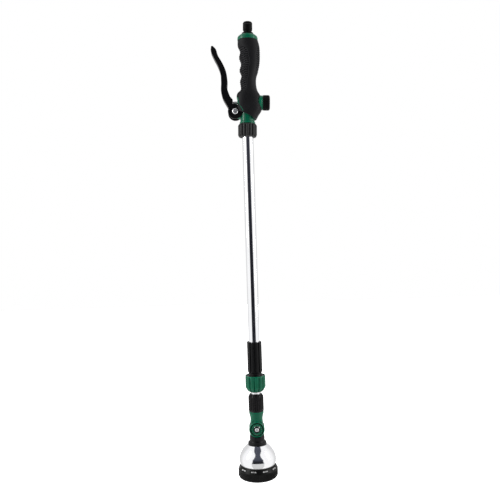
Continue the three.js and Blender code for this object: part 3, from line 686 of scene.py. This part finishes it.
def head_neck():
    """Skirt, neck and eye of the head, cut to a saddle for the cheeks of the pivot body."""
    outline = filleted([
        (0, 26.3), (27, 26.3), (27, 29), (20.5, 33), (12.4, 48), (12.4, 56.2), (15.2, 56.2, 0.3),
        (15.5, 57, 0.5), (15.5, 59.2, 0.7), (13.5, 60.8, 0.8), (12.7, 63, 2), (12.6, 69), (11.8, 72),
        (11.8, PIVOT), (0, PIVOT),
    ])
    body = turned("HeadNeck", outline, 160)
    eye = cylinder("Eye", EYE_RADIUS, -EYE_HALF, EYE_HALF, PIVOT_PLACE, 128)
    combined(body, "UNION", eye)
    cheek_room = [
        cylinder("Room", CHEEK_RADIUS + 0.4, side * EYE_HALF, side * (EYE_HALF + 12), PIVOT_PLACE, 128)
        for side in (-1, 1)
    ]
    bore = cylinder("Bore", 5, 40, PIVOT, segments=48)
    cross = cylinder("Cross", 5.5, -20, 20, PIVOT_PLACE, 64)
    chamber = turned("Chamber", [(0, 26), (20, 26), (20, 30), (5, 48), (0, 48)], 64)
    combined(body, "DIFFERENCE", *cheek_room, bore, cross, chamber)
    smooth(body.data, 32)
    dress(body, "black", "head_neck")


# ---- head pivot

STEM = [(88, 10.4), (92, 10.9), (98, 10.4), (104, 11.2), (108, 12.3), (111.2, 12.6)]


def pivot_body():
    """The green fork: a waisted stem over two round cheeks, with soft moulded corners."""
    stem = [(float(smooth_at(STEM, z)), z) for z in np.linspace(88, 111.2, 30)]
    body = turned("PivotBody", [(0, 88), *stem, (10.5, 111.2), (10.5, 124.2), (0, 124.2)], 128)
    cheek = [(0, -CHEEK_FACE), (CHEEK_RADIUS - 0.9, -CHEEK_FACE), (CHEEK_RADIUS, -CHEEK_FACE + 1.3),
             (CHEEK_RADIUS, CHEEK_FACE - 1.3), (CHEEK_RADIUS - 0.9, CHEEK_FACE), (0, CHEEK_FACE)]
    cheeks = turned("Cheeks", cheek, 128, place=PIVOT_PLACE)
    shoulders = [(-9.4, PIVOT), (9.4, PIVOT), (9.4, 94), (7.8, 98), (-7.8, 98), (-9.4, 94)]
    combined(body, "UNION", cheeks, prism("Shoulders", shoulders, -9.3, 9.3, FORWARD))
    slot_half = EYE_HALF + 0.3
    tools = [
        cylinder("Slot", CHEEK_RADIUS + 0.4, -slot_half, slot_half, PIVOT_PLACE, 128),
        block("Below", (-20, 20), (-slot_half, slot_half), (50, PIVOT)),
        cylinder("Hollow", 5.5, -8.6, 8.6, PIVOT_PLACE, 64),
        cylinder("ScrewHole", 2.4, -20, 20, PIVOT_PLACE, 48),
        cylinder("Cup", 8.3, 112.7, 130, segments=96),
        cylinder("Bore", 4.5, 94, 130, segments=64),
    ]
    tools += [cylinder("Recess", 11.6, side * 8.6, side * 15, PIVOT_PLACE, 128) for side in (-1, 1)]
    combined(body, "DIFFERENCE", *tools)
    moulded(body, 0.32, 4)
    dress(body, "green", "pivot_body")


CAP_RAYS = 14


def scalloped_cap(name, node, side):
    """A dished cap with rays round its face, inside a dark rubber ring that stands for the painted shade of the
    groove round it.
    """
    outline = filleted([(5.9, 8.7), (9.2, 8.7), (9.2, 11.2, 0.5), (8.6, 11.4, 0.4), (6.7, 10.6, 0.6),
                        (5.9, 10.6, 0.2)])

    def rays(angle, r, z):
        face = smoothstep(10, 10.5, z) * smoothstep(6.1, 6.8, r) * (1 - smoothstep(8.5, 9.1, r))
        return -0.7 * face * (0.5 - 0.5 * np.cos(CAP_RAYS * angle)) ** 2

    place = PIVOT_PLACE @ Matrix.Diagonal((1, 1, side, 1))
    dress(turned(name, divided(outline, 0.3), 252, place=place, lift=rays), "green", node)
    # Painted shade: a black rubber ring fills the groove round the cap, where its shade falls.
    shade_ring = filleted([(9.3, 8.7), (11.5, 8.7), (11.5, 9.5, 0.3), (9.3, 9.5, 0.3)])
    dress(turned(f"{name}ShadeRing", shade_ring, 96, place=place), "rubber", "pivot_washer", False)


def pivot_fasteners():
    washer = filleted([(2.3, 9.95), (5.5, 9.95), (5.5, 10.35, 0.1), (2.3, 10.35, 0.1)])
    dress(turned("PivotWasher", washer, 64, place=PIVOT_PLACE), "black", "pivot_washer")
    head = filleted([(0, -14), (2, -14, 0.4), (2, 10.4), (3.4, 10.4, 0.1), (3.4, 11.8, 0.5),
                     (2.9, 12.3, 0.4), (0, 12.3)])
    screw = turned("PivotScrew", head, 64, place=PIVOT_PLACE)
    combined(screw, "DIFFERENCE", cylinder("Socket", 1.7, 11, 13, PIVOT_PLACE, 6))
    smooth(screw.data, 30)
    dress(screw, "steel", "pivot_screw")
    nut = filleted([(2.2, -10.1), (4.3, -10.1, 0.3), (4.3, -12.9, 0.3), (2.2, -12.9)])
    dress(turned("PivotNut", nut, 6, place=PIVOT_PLACE, sharp=25), "steel", "pivot_nut")


# ---- telescopic tubes


def tube(name, node, radius, wall):
    low, high = node_span(node)
    inner = radius - wall
    outline = filleted([(inner, low), (radius, low, 0.2), (radius, low + 1), (radius, high - 1),
                        (radius, high, 0.2), (inner, high)])
    dress(turned(name, outline, 128), "tube", node)


COLLAR_RADIUS = 12.9
COLLAR_RIBS = 24


def collar_ribs(angle, r, z):
    """Round-backed ribs with narrow grooves that open out in the upper chamfer."""
    low, high = node_span("tube_collar")
    groove = smoothstep(0.35, 0.8, 0.5 - 0.5 * np.cos(angle * COLLAR_RIBS))
    body = smoothstep(low + 1.6, low + 2.6, z)
    return -1.0 * (r > 10.3) * body * groove * (1.1 + 0.5 * smoothstep(high - 5.5, high - 1.5, z))


def tube_collar():
    low, high = node_span("tube_collar")
    outer = filleted([(10.9, low), (12.6, low, 0.4), (COLLAR_RADIUS, low + 2, 0.8),
                      (COLLAR_RADIUS, high - 5, 1.5), (11.2, high - 1.4, 0.8), (10.2, high, 0.5),
                      (8.4, high, 0.2), (8.4, 127.4), (10.9, 127.4)])
    dress(turned("TubeCollar", divided(outer, 1.2), 480, collar_ribs), "collar", "tube_collar")


NUT_RADIUS = 17.2
NUT_PETALS = 13


def nut_petals(angle, r, z):
    """Rounded petals: shallow grooves at the rim that cut deep into the tapered lower end."""
    low, high = node_span("twist_lock_nut")
    groove = (1 - np.abs(np.cos(angle * NUT_PETALS / 2))) ** 2.2
    depth = 2.0 + 1.9 * (1 - smoothstep(low + 2, low + 14, z))
    fade = 1 - 0.75 * smoothstep(high - 2.4, high - 0.9, z)
    outer = r > np.where(z < low + 7, 10.4, 16)
    return -1.0 * outer * depth * groove * fade


def lock_nut():
    low, high = node_span("twist_lock_nut")
    outline = filleted([
        (8.7, low, 0.2), (11, low, 0.6), (13.8, low + 2.2, 2), (NUT_RADIUS, low + 8, 3),
        (NUT_RADIUS, high - 2.2), (16.9, high, 0.4), (15.4, high, 0.3), (15.4, 166.4), (14, 166.4),
        (14, 151.4), (8.7, 148.6),
    ])
    dress(turned("TwistLockNut", divided(outline, 0.7), 520, nut_petals), "green", "twist_lock_nut")


SLEEVE_RADIUS = 12.4
SLEEVE_RIBS = 10


def sleeve_flutes(angle, r, z):
    """Broad ribs with round flutes that run out at both ends and notch the rim above."""
    wave = np.abs(np.cos(angle * SLEEVE_RIBS / 2))
    flute = 1 - smoothstep(0.28, 0.55, wave)
    return -2.0 * (r > 11.4) * flute * smoothstep(177.6, 179.8, z)


def fluted_sleeve():
    low, high = node_span("fluted_sleeve")
    outline = filleted([
        (9.8, 165.6), (12.1, 165.6), (12.1, low), (13.6, low), (13.6, 167), (15, 167), (15, 171, 0.5),
        (11.2, 172.2, 1), (11.1, 177, 1), (SLEEVE_RADIUS, 179, 1), (SLEEVE_RADIUS, high - 0.9),
        (SLEEVE_RADIUS + 0.3, high, 0.25), (10.4, high, 0.3), (9.8, high - 0.6),
    ])
    dress(turned("FlutedSleeve", divided(outline, 1.2), 400, sleeve_flutes), "black", "fluted_sleeve")


# ---- handle

LEVER_PIVOT = (-20.6, 618.6)
LEVER_PLACE = HANDLE @ moved(*LEVER_PIVOT) @ FORWARD
BOSS_RADIUS = 12.5
VALVE = 635.0
VALVE_PLACE = HANDLE @ moved(0, VALVE) @ Matrix.Rotation(math.pi / 2, 4, "Y")  # +Z points to the palm
WATERWAY_PLACE = HANDLE @ moved(1.5, 0)
COUPLING_SPAN = (576.5, 598.0)
COUPLING_FLUTES = 16


def coupling_flutes(angle, r, z):
    low, high = COUPLING_SPAN
    groove = (1 - np.abs(np.cos(angle * COUPLING_FLUTES / 2))) ** 1.5
    length = smoothstep(low - 0.5, low + 2.5, z) * (1 - 0.6 * smoothstep(high - 2.6, high - 0.8, z))
    return -2.3 * (r > 13.2) * groove * np.maximum(length, 0.55 * (z < low + 2.5))


def coupling_nut():
    low, high = COUPLING_SPAN
    outline = filleted([
        (10.4, low, 0.3), (14.4, low, 1.2), (16, low + 3.4, 2), (16, high - 2.2, 1), (14.8, high, 0.6),
        (12.8, high), (12.8, 581), (10.4, 581),
    ])
    piece = turned("CouplingNut", divided(outline, 0.9), 512, coupling_flutes, HANDLE)
    dress(piece, "nut", "coupling_nut")


def handle_core():
    """Green body: neck with its ring, valve housing, inlet tube, head spigot and the lever's tongue."""
    px = LEVER_PIVOT[0]
    neck = turned("HandleCore", filleted([
        (0, 584), (12.4, 584), (12.4, 599.3), (13.3, 599.3, 0.5), (13.3, 601.4, 0.5), (12.2, 602.6, 0.8),
        (12.2, 640), (0, 640),
    ]), 128, place=HANDLE)
    housing = filleted([(0, -16.5), (12.2, -16.5, 0.8), (12.2, 18.1), (0, 18.1)])
    parts = [
        turned("Housing", housing, 96, place=VALVE_PLACE),
        cylinder("Inlet", 8.9, 636, 740, WATERWAY_PLACE, 64),
        turned("Spigot", [(0, 730), (9, 730), (13.2, 737), (13.2, 746.6), (0, 746.6)], 96, place=HANDLE),
    ]
    combined(neck, "UNION", *parts)
    room = [cylinder("Room", BOSS_RADIUS + 0.8, side * 5.6, side * 14, LEVER_PLACE, 96) for side in (-1, 1)]
    combined(neck, "DIFFERENCE", *room)
    web = prism("Web", [(px, 610.6), (-6, 606), (-6, 628), (px, 626.6)], -5.6, 5.6, HANDLE @ FORWARD)
    knuckle = cylinder("Knuckle", 8, -5.6, 5.6, LEVER_PLACE, 64)
    combined(neck, "UNION", web, knuckle)
    bores = [
        cylinder("Chamber", 8.6, -4.3, 30, VALVE_PLACE, 64),
        cylinder("Outlet", 5.8, -30, -4, VALVE_PLACE, 64),
        cylinder("Socket", 10.1, 580, 592, HANDLE, 96),
        cylinder("Entry", 8.8, 739.4, 760, HANDLE, 96),
        cylinder("Pin", 2.4, -20, 20, LEVER_PLACE, 48),
    ]
    combined(neck, "DIFFERENCE", *bores)
    smooth(neck.data, 32)
    dress(neck, "green", "handle_core")


# the grip's lever edge, palm edge and half depth, each as (height, distance)
LEVER_EDGE = [
    (607, -12.8), (618, -16.5), (628.5, -19.6), (642, -18.9), (650, -17.4), (656.5, -11.8), (663, -11.9),
    (671, -12.9), (680, -10.6), (689, -13.7), (700, -11.3), (711, -14.4), (722, -13), (730, -16.4),
    (741, -16.9),
]
PALM_EDGE = [
    (607, 15.3), (613, 18.4), (622.5, 24), (636, 22.8), (648, 21), (654, 17.5), (663.5, 15), (679, 15.3),
    (686, 17.5), (697, 19.9), (715, 21.1), (731, 20), (741, 17.4),
]
HALF_DEPTH = [
    (607, 13.6), (617, 15.6), (635, 16.6), (650, 16), (663, 14), (680, 14.2), (700, 16), (720, 16.6),
    (741, 16.8),
]
GRIP_RIB_PITCH = 3.62
GRIP_RIB_DEPTH = 1.3
# bottom, top, reach round from the lever side in radians, and where the two columns meet
FINGER_RIBS = (652.5, 728.0, 1.52, 1.03)
PALM_RIBS = (687.0, 729.0, 0.88, 0.44)  # the same, round from the palm side


def rib_patch(around, height, patch):
    """Two columns of short cross ribs, half a pitch apart. Returns the groove depth from 0 to 1."""
    low, high, reach, seam = patch
    middle = (height - low) / (high - low) * 2 - 1
    edge = reach * (1 - 0.35 * np.abs(middle) ** 4)
    inside = (1 - smoothstep(edge - 0.05, edge, around)) * smoothstep(low, low + 1.2, height)
    inside = inside * (1 - smoothstep(high - 1.2, high, height))
    turns = height / GRIP_RIB_PITCH + 0.5 * smoothstep(seam - 0.02, seam + 0.02, around)
    ridge = smoothstep(0.35, 0.8, 0.5 + 0.5 * np.cos(TAU * turns))
    return inside * (1 - ridge)


def grip_rib_depth(angle, height):
    """Depth, 0 to 1, of the anti-slip grooves: a finger patch on the lever side and a palm patch behind."""
    fingers = rib_patch(math.pi - np.abs(angle), height, FINGER_RIBS)
    return np.maximum(fingers, rib_patch(np.abs(angle), height, PALM_RIBS))


def grip_section(height):
    """Middle, half width, half depth and power of the grip's section. It is boxier round the valve."""
    left, right = smooth_at(LEVER_EDGE, height), smooth_at(PALM_EDGE, height)
    power = 1 - 0.22 * (1 - smoothstep(640, 662, height))
    return (left + right) / 2, (right - left) / 2, smooth_at(HALF_DEPTH, height), power


def grip_surface(angle, height):
    """Points of the grip's skin for arrays of angle (0 at the palm) and height."""
    middle, half, depth, power = grip_section(height)
    cos, sin = np.cos(angle), np.sin(angle)
    x = np.sign(cos) * np.abs(cos) ** power
    y = np.sign(sin) * np.abs(sin) ** power
    sink = GRIP_RIB_DEPTH * grip_rib_depth(angle, height)
    return middle + (half - sink) * x, (depth - sink) * y


def grip_sleeve():
    low, high = 607.0, 740.0
    around, rows = 300, 520
    angle = np.arange(around) * TAU / around - math.pi
    heights = np.linspace(low, high, rows)
    verts = []
    for height in heights:
        x, y = grip_surface(angle, np.full(around, height))
        verts += [(x[j], y[j], height) for j in range(around)]
    ends = [tuple(range(around)), tuple(range((rows - 1) * around, rows * around))]
    sleeve = mesh_object("GripSleeve", verts, ends + grid_faces(rows, around), HANDLE)
    spigot = [(0, 729.5), (9.2, 729.5), (13.6, 736.7), (13.6, 745), (0, 745)]
    tools = [
        turned("Room", spigot, 64, place=HANDLE),
        cylinder("Room", 9.2, 630, 735, WATERWAY_PLACE, 64),
        cylinder("Room", 12.5, 600, 640.3, HANDLE, 96),
        cylinder("Room", 12.5, -30, 18.2, VALVE_PLACE, 96),
        cylinder("Room", 12.9, 18.1, 40, VALVE_PLACE, 96),
        cylinder("Room", BOSS_RADIUS + 0.8, -9.6, 9.6, LEVER_PLACE, 96),
        block("Room", (-30, -5), (-5.9, 5.9), (600, 628.4), HANDLE),
    ]
    foot = HANDLE @ moved(10, 608.5) @ Matrix.Rotation(math.radians(25), 4, "Y")
    tools.append(block("Room", (-40, 0), (-30, 30), (-30, 0), foot))
    combined(sleeve, "DIFFERENCE", *tools)
    smooth(sleeve.data, 40)
    dress(sleeve, "grip", "grip_sleeve")


def seam_strip():
    """The thin line of green that shows between the grip's halves beside the valve housing."""
    route = curve_through([(-18.4, 645), (-15.6, 634), (-13.2, 628.5), (-9.5, 622.5), (-7.6, 618.2)], 32)
    strips = []
    for side in (-1, 1):
        verts = []
        for x, z in route:
            middle, half, depth, power = (float(v) for v in grip_section(z))
            across = max(-1.0, min(1.0, (x - middle) / half))
            angle = math.acos(math.copysign(abs(across) ** (1 / power), across))
            y = depth * math.sin(angle) ** power
            section = ((-0.25, 0.05), (0.25, 0.1), (0.25, -0.9), (-0.25, -0.9))
            verts += [(x + u, side * (y + v), z) for u, v in section]
        ends = [(0, 1, 2, 3), tuple(range(len(verts) - 4, len(verts)))]
        strips.append(mesh_object("Strip", verts, ends + grid_faces(len(route), 4), HANDLE))
    dress(joined("SeamStrip", strips), "green", "handle_core", False)


def end_collar():
    outline = filleted([
        (13.6, 740.3), (17, 740.3, 0.3), (17.3, 741.6, 0.5), (17.3, 744, 1.5), (16.7, 746.2, 1.5),
        (13.8, 748.8, 2), (9.9, 750.3, 0.4), (8.8, 750.3), (8.8, 746.9), (13.6, 746.9),
    ])
    dress(turned("EndCollar", outline, 160, place=HANDLE), "green", "end_collar")


def hose_connector():
    outline = filleted([
        (3.6, 742.4), (8.4, 742.4), (8.4, 750.6), (9.9, 750.6, 0.4), (9.9, 753.1, 0.6), (7, 753.9, 0.6),
        (6.6, 756.4, 1), (8, 758.5, 0.5), (8, 766.1, 0.3), (6.5, 766.1, 0.2), (6.5, 768.2, 0.2),
        (8, 768.2, 0.3), (8, 769.9, 0.6), (7.1, 771.5, 0.5), (3.6, 771.5, 0.3),
    ])
    dress(turned("HoseConnector", outline, 128, place=HANDLE), "plug", "hose_connector")
    ring = [(7.35 + 0.68 * math.cos(a), 767.15 + 0.68 * math.sin(a)) for a in np.arange(20) * TAU / 20]
    dress(turned("ConnectorRing", ring, 128, place=HANDLE), "rubber", "connector_oring")


# ---- lever

LEVER_OUTER = [
    (-61.4, 728.7), (-62.1, 721.9), (-57.5, 710.2), (-51.5, 698.8), (-45.8, 683), (-44.6, 667),
    (-44.5, 651), (-41.2, 640), (-36, 631),
]
LEVER_INNER = [
    (-29.6, 644), (-34, 657), (-34, 672.5), (-36.3, 686), (-42.3, 700), (-50, 713.3), (-54, 724.3),
    (-59, 729.2),
]
LEVER_PAD = (-24.9, 631.2, 638.6)  # x, bottom and top of the flat that meets the valve stem
LEVER_HALF = 9.0
FORK_HALF = 6.0


def lever():
    px, pz = LEVER_PIVOT
    boss = [(px + BOSS_RADIUS * math.cos(a), pz + BOSS_RADIUS * math.sin(a))
            for a in np.radians(np.linspace(155, 425, 60))]
    pad_x, pad_low, pad_high = LEVER_PAD
    pad = [(pad_x, pad_low), (pad_x, pad_high)]
    outline = curve_through(LEVER_OUTER, 70) + boss + pad + curve_through(LEVER_INNER, 70)
    side = HANDLE @ FORWARD
    blade = prism("TriggerLever", outline, -LEVER_HALF, LEVER_HALF, side)
    bend = np.linspace(math.radians(115.1), math.pi, 12)
    arch = [(px + 9.2 * math.cos(a), pz + 9.2 * math.sin(a)) for a in bend]
    roof = pad_low + 0.8
    fork = [(px - 30, 600), (px + 30, 600), (px + 30, roof), (pad_x + 0.4, roof), *arch, (px - 30, pz)]
    combined(blade, "DIFFERENCE", prism("Fork", fork, -FORK_HALF, FORK_HALF, side))
    combined(blade, "DIFFERENCE", cylinder("Pin", 2.6, -20, 20, LEVER_PLACE, 48))
    moulded(blade, 0.55, 6, 60)
    dress(blade, "black", "trigger_lever")


def lever_fasteners():
    face = LEVER_HALF + 0.3
    outline = filleted([(0, -12.6), (2.1, -12.6, 0.4), (2.1, face), (4.9, face, 0.1),
                        (4.9, face + 0.9, 0.4), (3.9, face + 1.7, 0.8), (0, face + 1.7)])
    screw = turned("LeverScrew", outline, 72, place=LEVER_PLACE)
    combined(screw, "DIFFERENCE", cylinder("Socket", 1.75, face + 0.5, 20, LEVER_PLACE, 6))
    smooth(screw.data, 30)
    dress(screw, "steel", "lever_screw")
    nut = filleted([(2.3, -face), (4.4, -face, 0.3), (4.4, -face - 2.6, 0.3), (2.3, -face - 2.6)])
    dress(turned("LeverNut", nut, 6, place=LEVER_PLACE, sharp=25), "steel", "lever_nut")


# ---- valve and flow knob

KNOB = (26.1, 37.9)
KNOB_RADIUS = 12.75
KNOB_RIBS = 44


def knob_ribs(angle, r, z):
    ribs = (1 - np.abs(np.cos(angle * KNOB_RIBS / 2))) ** 1.4
    low, high = KNOB
    length = smoothstep(low + 0.6, low + 1.6, z) * (1 - smoothstep(high - 3.0, high - 1.6, z))
    return -0.8 * (r > 11.8) * ribs * length


def flow_knob():
    low, high = KNOB
    outline = filleted([
        (5.2, low), (5.2, 34.6), (10.4, 34.6), (10.4, low), (12.4, low, 0.3),
        (KNOB_RADIUS, low + 0.8, 0.4), (KNOB_RADIUS, high - 2.4, 1), (11.9, high - 0.8, 0.8),
        (10.2, high, 0.6), (9.2, high, 0.3), (8.8, high - 0.5, 0.3), (5, high - 0.5, 0.2),
        (3.8, high - 0.5), (3.8, 35.4), (1.8, 35.4), (1.8, 34.7), (3.2, 34.7), (3.2, low),
    ])
    dress(turned("FlowKnob", divided(outline, 0.8), 528, knob_ribs, VALVE_PLACE), "dial", "flow_knob")


def valve_bonnet():
    outline = filleted([
        (3.3, 13.6), (8.1, 13.6), (8.1, 15.2), (7.1, 15.2), (7.1, 17), (8.1, 17), (8.1, 18.4),
        (11.2, 18.4, 0.5), (12.3, 20.6, 1.5), (12.4, 23.4), (12.0, 23.9, 0.2), (12.0, 24.4, 0.2),
        (12.4, 24.9, 0.2), (12.2, 25.8, 0.3), (3.3, 25.8),
    ])
    dress(turned("ValveBonnet", outline, 144, place=VALVE_PLACE), "green", "valve_bonnet")


def valve_stem():
    tip = curve_through([(0, -24.6), (1.3, -24.4), (2.1, -23.8), (2.4, -22.8)], 8)
    outline = [*tip, (2.4, 0.2), (6.5, 0.2), (6.5, 1.8), (2.2, 2.6), (2.2, 6.4), (0, 6.4)]
    dress(turned("ValveStem", outline, 64, place=VALVE_PLACE), "steel", "valve_stem")


def valve_spring():
    """A coil of wire round the valve stem, above the spindle's flange."""
    low, high, radius, wire, turns = 2.9, 12.0, 4.6, 0.45, 4
    steps, sides = turns * 36, 12
    verts = []
    for i in range(steps + 1):
        angle = TAU * turns * i / steps
        middle = low + wire + (high - low - 2 * wire) * i / steps
        for j in range(sides):
            around = TAU * j / sides
            r = radius + wire * math.cos(around)
            verts.append((r * math.cos(angle), r * math.sin(angle), middle + wire * math.sin(around)))
    ends = [tuple(range(sides)), tuple(range(steps * sides, (steps + 1) * sides))]
    coil = mesh_object("ValveSpring", verts, grid_faces(steps + 1, sides) + ends, VALVE_PLACE)
    dress(coil, "steel", "valve_spring")
    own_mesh(coil)


def stem_gland():
    outline = filleted([(2.8, -16.4, 0.4), (5.5, -16.4, 0.4), (5.5, -12), (2.8, -12)])
    dress(turned("StemGland", outline, 64, place=VALVE_PLACE), "black", "stem_gland")


# ---- studio

CAMERA_SPOT = (-2.2, -950.0, 384.9)
PICTURE_HEIGHT = 850.0  # how much of the wand's plane the picture shows
CAMERA_ROLL = math.radians(1.8)
FLOOR_DROP = 290.0  # the floor is below the spray face even when the wand is fully extended
FLOOR_SIZE = 6.0  # half its width, in metres
# half the width in degrees of the dark gap in front, against the height of the direction (its z)
FRONT_GAP = [(-1.0, 40), (-0.16, 37), (0.0, 33.5), (0.1, 33), (0.26, 33), (0.37, 30), (0.47, 26.5),
             (0.56, 22.5), (0.66, 20.5), (0.73, 21), (0.77, 23.5), (0.82, 32), (0.9, 52), (0.94, 62),
             (1.0, 70)]
GAP_TINT = (0.7, 0.75, 1.0)
BACK_LEVEL = 0.72  # brightness behind the wand, where the sides have 1
GROUND_LEVEL = 0.66


def studio_world():
    """White light from all round, softer behind and below, with a dark gap in front for the viewer."""
    world = bpy.data.worlds.new("Studio")
    bpy.context.scene.world = world
    g = Graph(world)

    def maths(operation, *values):
        node = g.node("Math")
        node.operation = operation
        for value, socket in zip(values, node.inputs):
            g.feed(value, socket)
        return node.outputs[0]

    def ranged(value, *numbers):
        """value, smoothly mapped from a range to another: from low, from high, to low, to high."""
        node = g.node("MapRange")
        node.interpolation_type = "SMOOTHSTEP"
        for socket, number in zip(node.inputs, (value, *numbers)):
            g.feed(number, socket)
        return node.outputs[0]

    split = g.node("SeparateXYZ")
    g.link(g.node("TexCoord").outputs["Generated"], split.inputs[0])
    height = split.outputs["Z"]
    stops = [((z + 1) / 2, math.radians(half) / 2) for z, half in FRONT_GAP]
    half_width = maths("MULTIPLY", g.ramp(maths("MULTIPLY_ADD", height, 0.5, 0.5), *stops), 2.0)
    front = maths("MULTIPLY", split.outputs["Y"], -1.0)
    azimuth = maths("ABSOLUTE", maths("ARCTAN2", split.outputs["X"], front))
    beyond = ranged(maths("SUBTRACT", azimuth, half_width), -0.05, 0.06, 0.0, 1.0)
    boxes = maths("MULTIPLY", beyond, ranged(azimuth, 1.7, 2.35, 1.0, BACK_LEVEL))
    boxes = maths("MAXIMUM", boxes, ranged(height, 0.955, 0.975, 0.0, 1.0))
    gap = ranged(height, -0.05, 0.5, 0.02, 0.1)
    ground = maths("MULTIPLY", ranged(height, -0.21, -0.18, 1.0, 0.0), GROUND_LEVEL)
    level = maths("MAXIMUM", maths("MAXIMUM", boxes, gap), ground)
    background = g.tree.nodes["Background"]
    g.link(g.mix(ranged(level, 0.1, 0.5, 0.0, 1.0), GAP_TINT, (1, 1, 1)), background.inputs["Color"])
    camera_ray = g.node("LightPath").outputs["Is Camera Ray"]
    g.link(maths("MAXIMUM", level, camera_ray), background.inputs["Strength"])


def studio_floor():
    """A pale floor, bright enough to read as white."""
    low = CAD_BOX[0][2] - FLOOR_DROP * MM
    verts = [(x * FLOOR_SIZE, y * FLOOR_SIZE, low) for x, y in ((-1, -1), (1, -1), (1, 1), (-1, 1))]
    mesh = bpy.data.meshes.new("StudioFloor")
    mesh.from_pydata(verts, [], [(0, 1, 2, 3)])
    floor = new_object("StudioFloor", mesh)
    s = Shader("PaleFloor", roughness=0.9)
    s.colour(s.ramp(s.noise(3, 2), (0.3, 0.93), (0.7, 0.96)))
    s.base.inputs["Emission Color"].default_value = (1, 1, 1, 1)
    s.base.inputs["Emission Strength"].default_value = 1.0
    mesh.materials.append(s.material)
    floor.visible_glossy = False
    floor.visible_diffuse = False
    floor.visible_shadow = False


def area_light(name, spot, target, size, power):
    data = bpy.data.lights.new(name, "AREA")
    data.shape = "RECTANGLE"
    data.size, data.size_y = size
    data.energy = power
    lamp = new_object(name, data)
    lamp.location = spot
    lamp.rotation_euler = (Vector(target) - Vector(spot)).to_track_quat("-Z", "Y").to_euler()


def studio_lights():
    middle = (0, 0, 0.4)
    area_light("KeySoftbox", (-1.3, -0.45, 0.9), middle, (0.3, 1.0), 10)
    area_light("FillSoftbox", (1.3, -0.35, 0.65), middle, (0.22, 1.1), 7)


def photo_camera():
    data = bpy.data.cameras.new("PhotoCamera")
    camera = new_object("PhotoCamera", data)
    x, y, z = CAMERA_SPOT
    data.sensor_width = 36
    data.lens = 36 * -y / PICTURE_HEIGHT
    spot = Matrix.Translation((x * MM, y * MM, z * MM))
    camera.matrix_world = spot @ Matrix.Rotation(CAMERA_ROLL, 4, "Y") @ FORWARD
    bpy.context.scene.camera = camera
    bpy.context.scene.view_settings.view_transform = "Standard"


def build_wand():
    dress_cad_nodes()
    dial_ring()
    dial_marks()
    spray_face()
    centre_cap()
    bell_cover()
    head_neck()
    pivot_body()
    scalloped_cap("PivotCapFront", "pivot_cap_front", 1)
    scalloped_cap("PivotCapBack", "pivot_cap_back", -1)
    pivot_fasteners()
    tube_collar()
    tube("InnerTube", "inner_tube", 8, 0.9)
    lock_nut()
    fluted_sleeve()
    tube("OuterTube", "outer_tube", 9.5, 0.8)
    coupling_nut()
    handle_core()
    grip_sleeve()
    seam_strip()
    end_collar()
    hose_connector()
    lever()
    lever_fasteners()
    flow_knob()
    valve_bonnet()
    valve_stem()
    valve_spring()
    stem_gland()


photo_camera()
studio_world()
studio_floor()
studio_lights()
build_wand()
